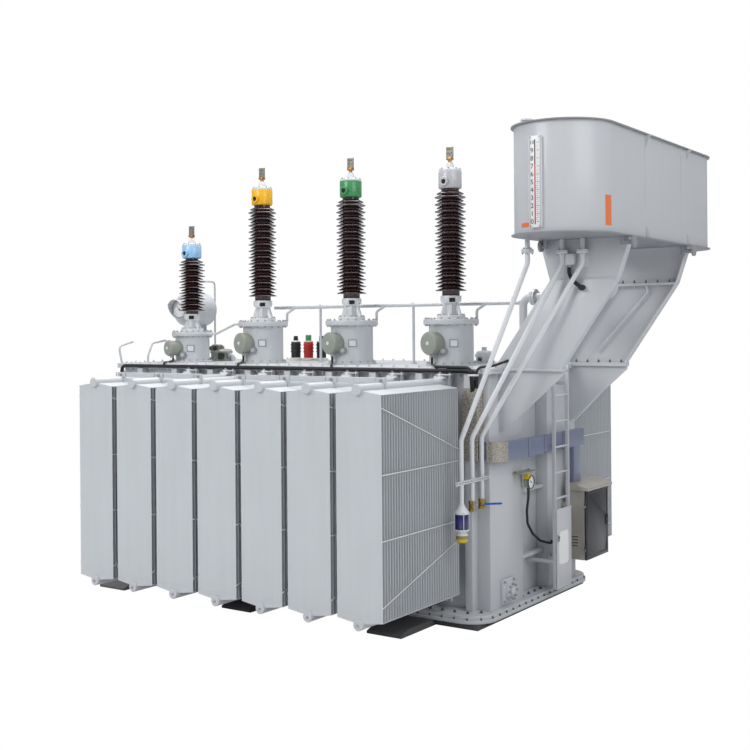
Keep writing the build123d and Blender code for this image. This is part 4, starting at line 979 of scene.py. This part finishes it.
def make_shell_details():
    bm = bmesh.new()
    for side in (-1, 1):
        wall = CONS_X + side * CONS_R
        tip = wall + side * 0.060
        for y in (-0.503, 0.565):
            add_box(bm, (wall - side * 0.002, y - 0.009, CONS_LOW), (wall + side * 0.0035, y + 0.009, CONS_HIGH))
        for y in (-0.487, 0.733):
            for low, high, level in ((4.975, CONS_HIGH, CONS_HIGH), (CONS_LOW, 4.185, CONS_LOW)):
                add_prism(bm, [(wall, y, low), (wall, y, high), (tip, y, level)], (0, 0.014, 0))
    end, radii = Vector((CONS_X, CONS_END, 0)), (CONS_R - 0.001, CONS_R + 0.0025)
    add_arc_plate(bm, end, radii, (4.108, 4.150), -121.0, -107.5, steps=6, index=1)
    add_arc_plate(bm, end, radii, (4.115, 4.405), -13.5, -1.0, steps=6, index=1)
    add_post(bm, 3.521, -1.700, LID_TOP, 5.150, 0.045, sides=24, index=2)
    add_post(bm, 3.521, -1.700, 5.150, 5.164, 0.062, sides=24, index=2)
    for x, y in ((4.05, -0.9), (3.47, 0.4), (4.05, 1.1)):
        add_post(bm, x, y, LID_TOP, 5.142, 0.080, sides=28)
        bolt_ring(bm, (x, y, 5.142), UP, 0.064, 8, 0.008, 0.010)
    keep("shell_details", bm, [PAINT, ORANGE, WHITE_PAINT_AND_HIGHLIGHT])


make_shell_details()
print("conservator seams, lugs and plates")


# %% [markdown]
# ## Oil level scale
# The level gauge is a white board with the numbers 0 to 10, a slot and a float column: red up
# to the oil level and dark above it. The numbers are text curves turned into flat mesh faces.

# %% Numbers as mesh
def add_number(bm, text, place, size, index):
    """Flat figures centred on a point, to be read from the front."""
    curve = bpy.data.curves.new("number", "FONT")
    curve.body = text
    curve.size = size
    curve.align_x, curve.align_y = "CENTER", "CENTER"
    curve.resolution_u = 3
    holder = bpy.data.objects.new("number", curve)
    mesh = bpy.data.meshes.new_from_object(holder)
    mesh.transform(Matrix.Translation(place) @ Matrix.Rotation(math.radians(90), 4, "X"))
    before = set(bm.faces)
    bm.from_mesh(mesh)
    tint(verts_since(bm, before), index)
    bpy.data.objects.remove(holder)
    bpy.data.curves.remove(curve)
    bpy.data.meshes.remove(mesh)


# %% Scale board
NUMBER_STEP, OIL_LEVEL = 0.075, 0.600


def make_scale():
    bm = bmesh.new()
    (x0, front, z0), (x1, _, z1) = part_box("oil_level_gauge")
    middle = (x0 + x1) / 2

    def strip(left, right, low, high, index):
        """A thin strip on the board, between two places across it and two heights."""
        add_box(bm, (middle + left, front - 0.0015, low), (middle + right, front + 0.001, high), index)

    for edge in (x0 + 0.003, x1 - 0.003):
        add_box(bm, (edge - 0.005, front - 0.006, z0), (edge + 0.005, front + 0.002, z1), 3)
    strip(-0.006, 0.006, z0 + 0.030, z0 + OIL_LEVEL, 2)
    strip(-0.006, 0.006, z0 + OIL_LEVEL, z1 - 0.035, 1)
    for number in range(11):
        height = z0 + 0.055 + NUMBER_STEP * number
        size = 0.066 if number < 10 else 0.05
        add_number(bm, str(number), (middle - 0.031, front - 0.002, height), size, 1)
        strip(0.016, 0.042, height - 0.0022, height + 0.0022, 1)
        for share, reach in ((0.25, 0.028), (0.5, 0.034), (0.75, 0.028)) if number < 10 else ():
            spot = height + NUMBER_STEP * share
            strip(0.016, reach, spot - 0.0015, spot + 0.0015, 2)
    for x in (x0 + 0.015, x1 - 0.015):
        for z in (z0 + 0.012, z1 - 0.012):
            add_bolt(bm, (x, front, z), FRONT, 0.006, 0.006, index=3)
    keep("level_scale", bm, [SCALE, INK, RED, ZINC])


make_scale()
print("scale with numbers 0 to 10")


# %% [markdown]
# ## Supports
# Each leaning support is a channel bolted at its neck and its foot. The bolts stand inside the
# channel, where the rear support shows them. A small box with a black hose is on the front one.

# %% Support bolts, rib and box
def make_support_details():
    bm = bmesh.new()
    for side in (-1, 1):
        y, weld = side * 0.838, side * 0.9055
        for k in range(5):
            neck, foot = 3.460 + 0.138 * k, 2.870 + 0.140 * k
            add_bolt(bm, (neck, y, 3.644), UP, 0.011, 0.024, index=1)
            add_bolt(bm, (neck, y, 3.616), DOWN, 0.011, 0.016)
            add_bolt(bm, (foot, y, 2.734), UP, 0.012, 0.024, index=1)
            add_bolt(bm, (foot, y, 2.690), DOWN, 0.012, 0.016)
        add_rod(bm, (3.457, weld, 3.645), (4.100, weld, 3.645), 0.006, sides=8)
        add_tube(bm, [(3.744, y, 3.620), (3.753, y, 3.540), (3.130, y, 2.860)], 0.014, bend=0.05)
    keep("support_details", bm, [PAINT, DARK_STEEL])


def make_support_box():
    bm = bmesh.new()
    add_box(bm, (3.575, -0.972, 3.782), (3.668, -0.904, 3.893))
    soften(bm, 4 * MM)
    add_box(bm, (3.690, -0.916, 3.760), (3.800, -0.904, 3.930))
    add_post(bm, 3.607, -0.945, 3.784, 3.752, 0.018, sides=8, index=1)
    hose = [(3.607, -0.945, 3.756), (3.607, -0.950, 3.690), (3.650, -0.950, 3.615), (3.738, -0.945, 3.548)]
    add_tube(bm, hose, 0.020, bend=0.05, index=2)
    add_rod(bm, (3.738, -0.960, 3.548), (3.738, -0.904, 3.548), 0.030, sides=16, index=2)
    keep("support_box", bm, [WHITE_PAINT_AND_HIGHLIGHT, ZINC, RUBBER])


make_support_details()
make_support_box()
print("support bolts, ribs and box")


# %% [markdown]
# ## Pipe flanges
# Pipes meet at bolted flanges. The small pipes have one pair each below the conservator; the
# main oil pipe has pairs at its foot, below its bend and on both sides of the gas relay.

# %% Flange pairs on the pipes
FLANGE_BOLT = {"radius": 0.009, "height": 0.012, "index": 1}


def make_pipe_flanges():
    bm = bmesh.new()
    for x, y in ((3.340, -1.350), (3.540, -0.970), (3.765, -0.970)):
        for z, way in ((3.932, UP), (3.896, DOWN)):
            bolt_ring(bm, (x, y, z), way, 0.048, 4, turn=0.4, **FLANGE_BOLT)
        add_turned(bm, [(0.0625, -0.002), (0.0635, 0.0), (0.0625, 0.002)], (x, y, 3.914), steps=28, index=1)
    for low in (2.722, 2.751):
        add_post(bm, 2.600, 0, low, low + 0.026, 0.088, sides=32)
    bolt_ring(bm, (2.600, 0, 2.777), UP, 0.070, 8, **FLANGE_BOLT)
    for x in (2.740, 2.936, 3.164):
        for side in (-1, 1):
            face = (x + side * 0.026, 0, 3.490)
            add_rod(bm, (x + side * 0.002, 0, 3.490), face, 0.092, sides=32)
            bolt_ring(bm, face, (side, 0, 0), 0.072, 8, **FLANGE_BOLT)
    for x in (-0.290, 1.120):
        left, right = x - 0.028, x + 0.028
        add_post(bm, x, 0, 2.718, 2.732, 0.042, sides=24)
        clip = [(left, 0, 3.408), (left, 0, 3.455), (right, 0, 3.455), (right, 0, 3.408)]
        add_tube(bm, clip, 0.006, bend=0.02, sides=8, index=1)
    keep("pipe_flanges", bm, [PAINT, ZINC])


make_pipe_flanges()
print("flanges on the pipes")


# %% [markdown]
# ## Breather and drain valves
# The breather dries the air that the conservator draws in: a glass full of navy beads with an
# oil cup below. Thin rods hold the glass between its end caps. Beside it are two brass ball
# valves with six-sided ends.

# %% Breather parts
BREATHER = Vector((2.700, -1.600, 0))


def make_breather():
    bm = bmesh.new()
    for k in range(4):
        spot = BREATHER + ray(45 + 90 * k) * 0.0755
        add_post(bm, spot.x, spot.y, 1.090, 1.272, 0.0042, sides=8)
    for inner, outer, low, high in ((0.070, 0.0775, 1.256, 1.266), (0.070, 0.0775, 1.093, 1.102),
                                    (0.056, 0.0625, 1.040, 1.058)):
        add_turned(bm, [(inner, low), (outer, low), (outer, high), (inner, high)], BREATHER, steps=36)
    cup = [(0.0, 0.966), (0.050, 0.966), (0.0625, 0.981), (0.0625, 1.004), (0.0595, 1.004)]
    add_turned(bm, cup, BREATHER, steps=36, index=1)
    keep("breather_parts", bm, [WHITE_PAINT_AND_HIGHLIGHT, AMBER])


# %% Ball valves
def make_ball_valves():
    bm = bmesh.new()
    x, out = 2.700, ray(-45)
    ball = [(0.030, 1.284), (0.037, 1.292), (0.041, 1.307), (0.037, 1.322), (0.030, 1.331)]
    for y, stem in ((-1.380, 0.056), (-1.175, 0.042)):
        add_post(bm, x, y, 1.330, 1.360, 0.040, sides=6)
        add_post(bm, x, y, 1.255, 1.285, 0.040, sides=6)
        add_turned(bm, ball, (x, y, 0), steps=24)
        add_post(bm, x, y, 1.252, 1.256, 0.026, sides=20, index=1)
        middle = Vector((x, y, 1.3075))
        add_rod(bm, middle + out * 0.030, middle + out * stem, 0.014, sides=6, index=1)
    handle = Vector((x, -1.380, 0)) + out * 0.056
    add_post(bm, handle.x, handle.y, 1.2525, 1.3625, 0.007, sides=10, index=1)
    keep("ball_valves", bm, [VALVE_BRASS, ZINC])


make_breather()
make_ball_valves()
print("breather and ball valves")


# %% [markdown]
# ## Dial thermometer
# A white face with a dark pointer looks out from a round case under a shelf. Its ticks run
# three quarters of the way round. A yellow plug connects the lead.

# %% Thermometer face
def add_dial(bm, centre, out, size, ticks, indices):
    """An upright dial face: rim, white disc, ticks and a pointer, looking along a direction."""
    rim, face, ink, needle = indices
    centre, out, up = Vector(centre), Vector(out), Vector(UP)
    across = up.cross(out)
    add_turned(bm, [(size * 0.90, 0.0), (size * 1.03, 0.0), (size * 1.03, 0.010), (size * 0.98, 0.014),
                    (size * 0.90, 0.008)], centre, out, index=rim)
    add_rod(bm, centre - out * 0.002, centre + out * 0.003, size * 0.93, sides=40, index=face)
    for step in range(ticks + 1):
        angle = math.radians(-135 + 270 * step / ticks)
        way = (up * math.cos(angle) + across * math.sin(angle)) * size
        inner, width = (0.66, 0.022) if step % 5 == 0 else (0.74, 0.013)
        print_level = centre + out * 0.0042
        add_rod(bm, print_level + way * inner, print_level + way * 0.84, size * width, sides=4, index=ink)
    way = (up * math.cos(0.9) - across * math.sin(0.9)) * size
    hub = centre + out * 0.006
    add_rod(bm, hub - way * 0.2, hub + way * 0.7, size * 0.03, size * 0.012, 6, needle)
    add_rod(bm, centre, centre + out * 0.009, size * 0.10, sides=16, index=ink)


def make_thermometer():
    bm = bmesh.new()
    add_dial(bm, (2.8275, -0.300, 1.440), RIGHT, 0.074, 20, (5, 1, 2, 3))
    add_box(bm, (2.766, -0.372, 1.478), (2.832, -0.298, 1.549), 4)
    add_post(bm, 2.7975, -0.300, 1.380, 1.350, 0.020, sides=8, index=5)
    for y in (-0.540, -0.225):
        add_bolt(bm, (2.760, y, 1.5655), UP, 0.009, 0.010, index=5)
    keep("thermometer_face", bm, [ZINC, SCALE, INK, RED, AMBER, DARK_GLASS_AND_SHADE])


make_thermometer()
print("thermometer dial")


# %% [markdown]
# ## Cable tray, ladder and cabinet
# The tray has a zinc sleeve round its corner and joint plates. A zinc duct leads the cables
# down to it from the cover. The ladder guard has a latch and a plain white board, and both
# ride on its hinge. The cabinet has louvres at the side, with painted shade in the slot under
# each, and a frame pressed into the door, with painted shade in the gap round it.

# %% Tray sleeve and joints
def make_tray_details():
    bm = bmesh.new()
    low, high = 1.741, 1.949
    add_arc_plate(bm, Vector((2.780, -1.010, 0)), (0.1205, 0.1235), (low, high), -90, 0, steps=12)
    add_box(bm, (2.735, -1.1335, low), (2.780, -1.1305, high))
    add_box(bm, (2.9005, -1.010, low), (2.9035, -0.965, high))
    for y in (-0.465, -0.070, 0.400):
        add_box(bm, (2.898, y - 0.030, low - 0.003), (2.904, y + 0.030, high + 0.003), 1)
        for dy in (-0.018, 0.018):
            for z in (1.775, 1.915):
                add_bolt(bm, (2.904, y + dy, z), RIGHT, 0.007, 0.007)
    add_box(bm, (2.898, -0.380, 1.884), (2.9025, -0.140, 1.938), 1)
    keep("tray_details", bm, [SPANGLED, TRAY])


# %% Guard latch and bare board
def make_guard_details():
    bm = bmesh.new()
    add_box(bm, (2.981, 0.042, 0.735), (2.996, 0.070, 0.815), 1)
    add_rod(bm, (2.994, 0.056, 0.790), (3.006, 0.056, 0.790), 0.011, sides=16, index=2)
    add_box(bm, (2.994, 0.052, 0.745), (3.002, 0.060, 0.792), 2)
    add_box(bm, (2.981, 0.085, 0.470), (2.9845, 0.330, 0.840))
    for y in (0.097, 0.318):
        for z in (0.482, 0.828):
            add_bolt(bm, (2.9845, y, z), RIGHT, 0.005, 0.005, index=1)
    keep("guard_details", bm, [SCALE, ZINC, DARK_GLASS_AND_SHADE], "guard_leaf")


# %% Cabinet louvres and door
def make_cabinet_details():
    bm = bmesh.new()
    for k in range(4):
        z = 0.600 + 0.036 * k
        add_rod(bm, (2.868, 0.660, z), (2.962, 0.660, z), 0.011, sides=12)
        # A dark strip under each louvre: painted shade in its slot.
        add_box(bm, (2.872, 0.6485, z - 0.012), (2.958, 0.6505, z - 0.004), 1)
    add_box(bm, (2.830, 0.6585, 0.446), (2.833, 0.6605, 1.220), 1)
    keep("cabinet_louvres", bm, [STAINLESS, DARK_GLASS_AND_SHADE])


def make_door_details():
    bm = bmesh.new()
    front = 3.061
    for y0, y1, z0, z1 in ((0.690, 1.262, 1.196, 1.206), (0.690, 1.262, 0.460, 0.470),
                           (0.690, 0.700, 0.470, 1.196), (1.252, 1.262, 0.470, 1.196)):
        add_box(bm, (front - 0.001, y0, z0), (front + 0.0035, y1, z1))
    # A dark sheet behind the door, showing round its edges: painted shade in the gap.
    add_box(bm, (3.0405, 0.668, 0.436), (3.0412, 1.284, 1.230), 1)
    add_box(bm, (front + 0.0175, 1.2285, 0.800), (front + 0.0215, 1.2555, 0.865), 1)
    add_rod(bm, (front, 1.242, 0.880), (front + 0.010, 1.242, 0.880), 0.014, sides=16, index=1)
    keep("door_details", bm, [DARKENED_DOOR_STEEL, DARK_GLASS_AND_SHADE], "cabinet_leaf")


make_tray_details()
make_guard_details()
make_cabinet_details()
make_door_details()
print("tray, guard and cabinet details")


# %% [markdown]
# ## Drain flange and corner cables
# Low on the end wall a square flange closes the main drain. At the front corner more cables
# join the first, held by a white clamp, and all of them drop into the zinc duct.

# %% Drain flange bolts and cables
def make_drain_bolts():
    bm = bmesh.new()
    y, z = -0.730, 0.320
    bolt_ring(bm, (2.815, y, z), RIGHT, 0.078, 8, 0.013, 0.018)
    dome = [(0.0, 0.030), (0.030, 0.028), (0.046, 0.018), (0.050, 0.0)]
    add_turned(bm, dome, (2.815, y, z), RIGHT, 28, index=1)
    for dy, dz in square(0.105):
        add_bolt(bm, (2.775, y + dy, z + dz), RIGHT, 0.014, 0.018)
    keep("drain_bolts", bm, [ZINC, PAINT])


def make_corner_cables():
    bm = bmesh.new()
    add_tube(bm, [(2.150, -1.206, 2.735), (2.590, -1.206, 2.730), (2.598, -1.190, 2.470)], 0.017, bend=0.06)
    add_tube(bm, [(2.880, -0.900, 2.800), (2.760, -1.040, 2.742), (2.675, -1.185, 2.735),
                  (2.648, -1.206, 2.640), (2.648, -1.160, 2.470)], 0.014, bend=0.05)
    add_tube(bm, [(2.300, -1.212, 2.700), (2.610, -1.216, 2.698), (2.622, -1.216, 2.560),
                  (2.622, -1.180, 2.470)], 0.017, bend=0.06)
    add_box(bm, (2.576, -1.238, 2.640), (2.676, -1.172, 2.660), 1)
    add_box(bm, (2.478, -1.200, 1.747), (2.666, -1.066, 2.510), 2)
    soften(bm, 3 * MM, steps=1, sharper=60)
    keep("corner_cables", bm, [RUBBER, WHITE_PAINT_AND_HIGHLIGHT, SPANGLED])


make_drain_bolts()
make_corner_cables()
print("drain flange and corner cables")


# %% [markdown]
# ## Instruments and fittings on the cover
# The small oil drum at the left end has its own level dial under the rain hood, weld bands and
# a lifting eye. The tap changer's head is bolted down and has a gear housing with a drive
# shaft. The low-voltage insulators wear rubber boots with drip sheds.

# %% Drum dial and bands
DRUM_X, DRUM_Z = -2.640, 3.435


def make_drum_details():
    bm = bmesh.new()
    x, z = DRUM_X, DRUM_Z
    add_dial(bm, (x, -0.1305, z), FRONT, 0.118, 20, (0, 1, 2, 3))
    band = [(0.220, -0.007), (0.2255, -0.004), (0.2255, 0.004), (0.220, 0.007)]
    for y in (-0.012, 0.372):
        add_turned(bm, band, (x, y, z), (0, 1, 0), 48, index=4)
    add_rod(bm, (x - 0.006, 0.190, z + 0.240), (x + 0.006, 0.190, z + 0.240), 0.026, index=4)
    add_box(bm, (x - 0.006, 0.164, z + 0.215), (x + 0.006, 0.216, z + 0.240), 4)
    add_rod(bm, (x + 0.10, 0.440, z + 0.08), (x + 0.10, 0.462, z + 0.08), 0.036, sides=6, index=5)
    keep("drum_details", bm, [ZINC, SCALE, INK, RED, PAINT, CAST])


# %% Tap changer head fittings
HEAD = Vector((-2.170, 0.200, COVER_TOP))


def make_head_fittings():
    bm = bmesh.new()

    def at(x, y, z):
        """A point counted from the foot of the head."""
        return HEAD + Vector((x, y, z))

    bolt_ring(bm, at(0, 0, 0.028), UP, 0.156, 14, 0.011, 0.016)
    bolt_ring(bm, at(0, 0, 0.140), UP, 0.136, 10, 0.009, 0.012)
    add_box(bm, at(-0.075, -0.130, 0.130), at(0.055, -0.020, 0.215), 1)
    add_box(bm, at(-0.062, -0.118, 0.213), at(0.042, -0.032, 0.228), 2)
    add_rod(bm, at(-0.070, -0.075, 0.172), at(-0.150, -0.075, 0.172), 0.030, index=3)
    add_rod(bm, at(-0.150, -0.075, 0.172), at(-0.420, -0.075, 0.172), 0.013, sides=12)
    add_rod(bm, at(0, -0.128, 0.172), at(0, -0.150, 0.172), 0.028, index=3)
    add_tube(bm, [at(0.120, 0, 0.075), at(0.215, 0, 0.075), at(0.215, 0, 0)], 0.026, bend=0.05, index=2)
    add_rod(bm, at(0.140, 0, 0.075), at(0.158, 0, 0.075), 0.045)
    add_box(bm, at(0.070, -0.150, 0.028), at(0.150, -0.100, 0.105), 3)
    soften(bm, 2 * MM, steps=1, sharper=50)
    keep("tap_head_fittings", bm, [ZINC, TINNED, PAINT, DARK_GLASS_AND_SHADE])


# %% Boots and relief valve
BOOT_R, BOOT_SHED_R, BOOT_Y = 0.0640, 0.074, 0.700


def make_boots():
    bm = bmesh.new()
    boot = [(0.0, 0.336), (0.028, 0.336), (0.034, 0.262), (BOOT_R, 0.252)]
    for foot in (0.205, 0.160, 0.115):
        boot += [(BOOT_R, foot + 0.026), (BOOT_SHED_R, foot + 0.004), (BOOT_SHED_R, foot), (BOOT_R, foot + 0.002)]
    boot += [(BOOT_R, 0.040), (0.050, 0.040)]
    for x, index in ((-1.250, 0), (-1.030, 1), (-0.810, 0)):
        add_turned(bm, boot, (x, BOOT_Y, COVER_TOP), steps=28, index=index)
    cap = [(0.035, 0.258), (0.040, 0.262), (0.040, 0.345), (0.030, 0.352), (0.0, 0.352)]
    add_turned(bm, cap, (-1.030, BOOT_Y, COVER_TOP), steps=24, index=2)
    keep("lv_boots", bm, [RUBBER, RED, GREEN])


def make_relief_valve():
    bm = bmesh.new()
    x, y = 1.980, 0.200
    add_turned(bm, [(0.0, 0.0), (0.130, 0.0), (0.130, 0.022), (0.100, 0.022), (0.100, 0.085), (0.112, 0.085),
                    (0.112, 0.105), (0.085, 0.150), (0.030, 0.160), (0.030, 0.200), (0.0, 0.200)],
               (x, y, COVER_TOP))
    bolt_ring(bm, (x, y, COVER_TOP + 0.022), UP, 0.116, 8, 0.010, 0.014, index=1)
    add_rod(bm, (x, 0.105, 2.775), (x, 0.080, 2.775), 0.022, sides=16, index=2)
    keep("relief_valve", bm, [PAINT, ZINC, DARK_GLASS_AND_SHADE])


make_drum_details()
make_head_fittings()
make_boots()
make_relief_valve()
print("drum dial, tap changer fittings, boots and relief valve")
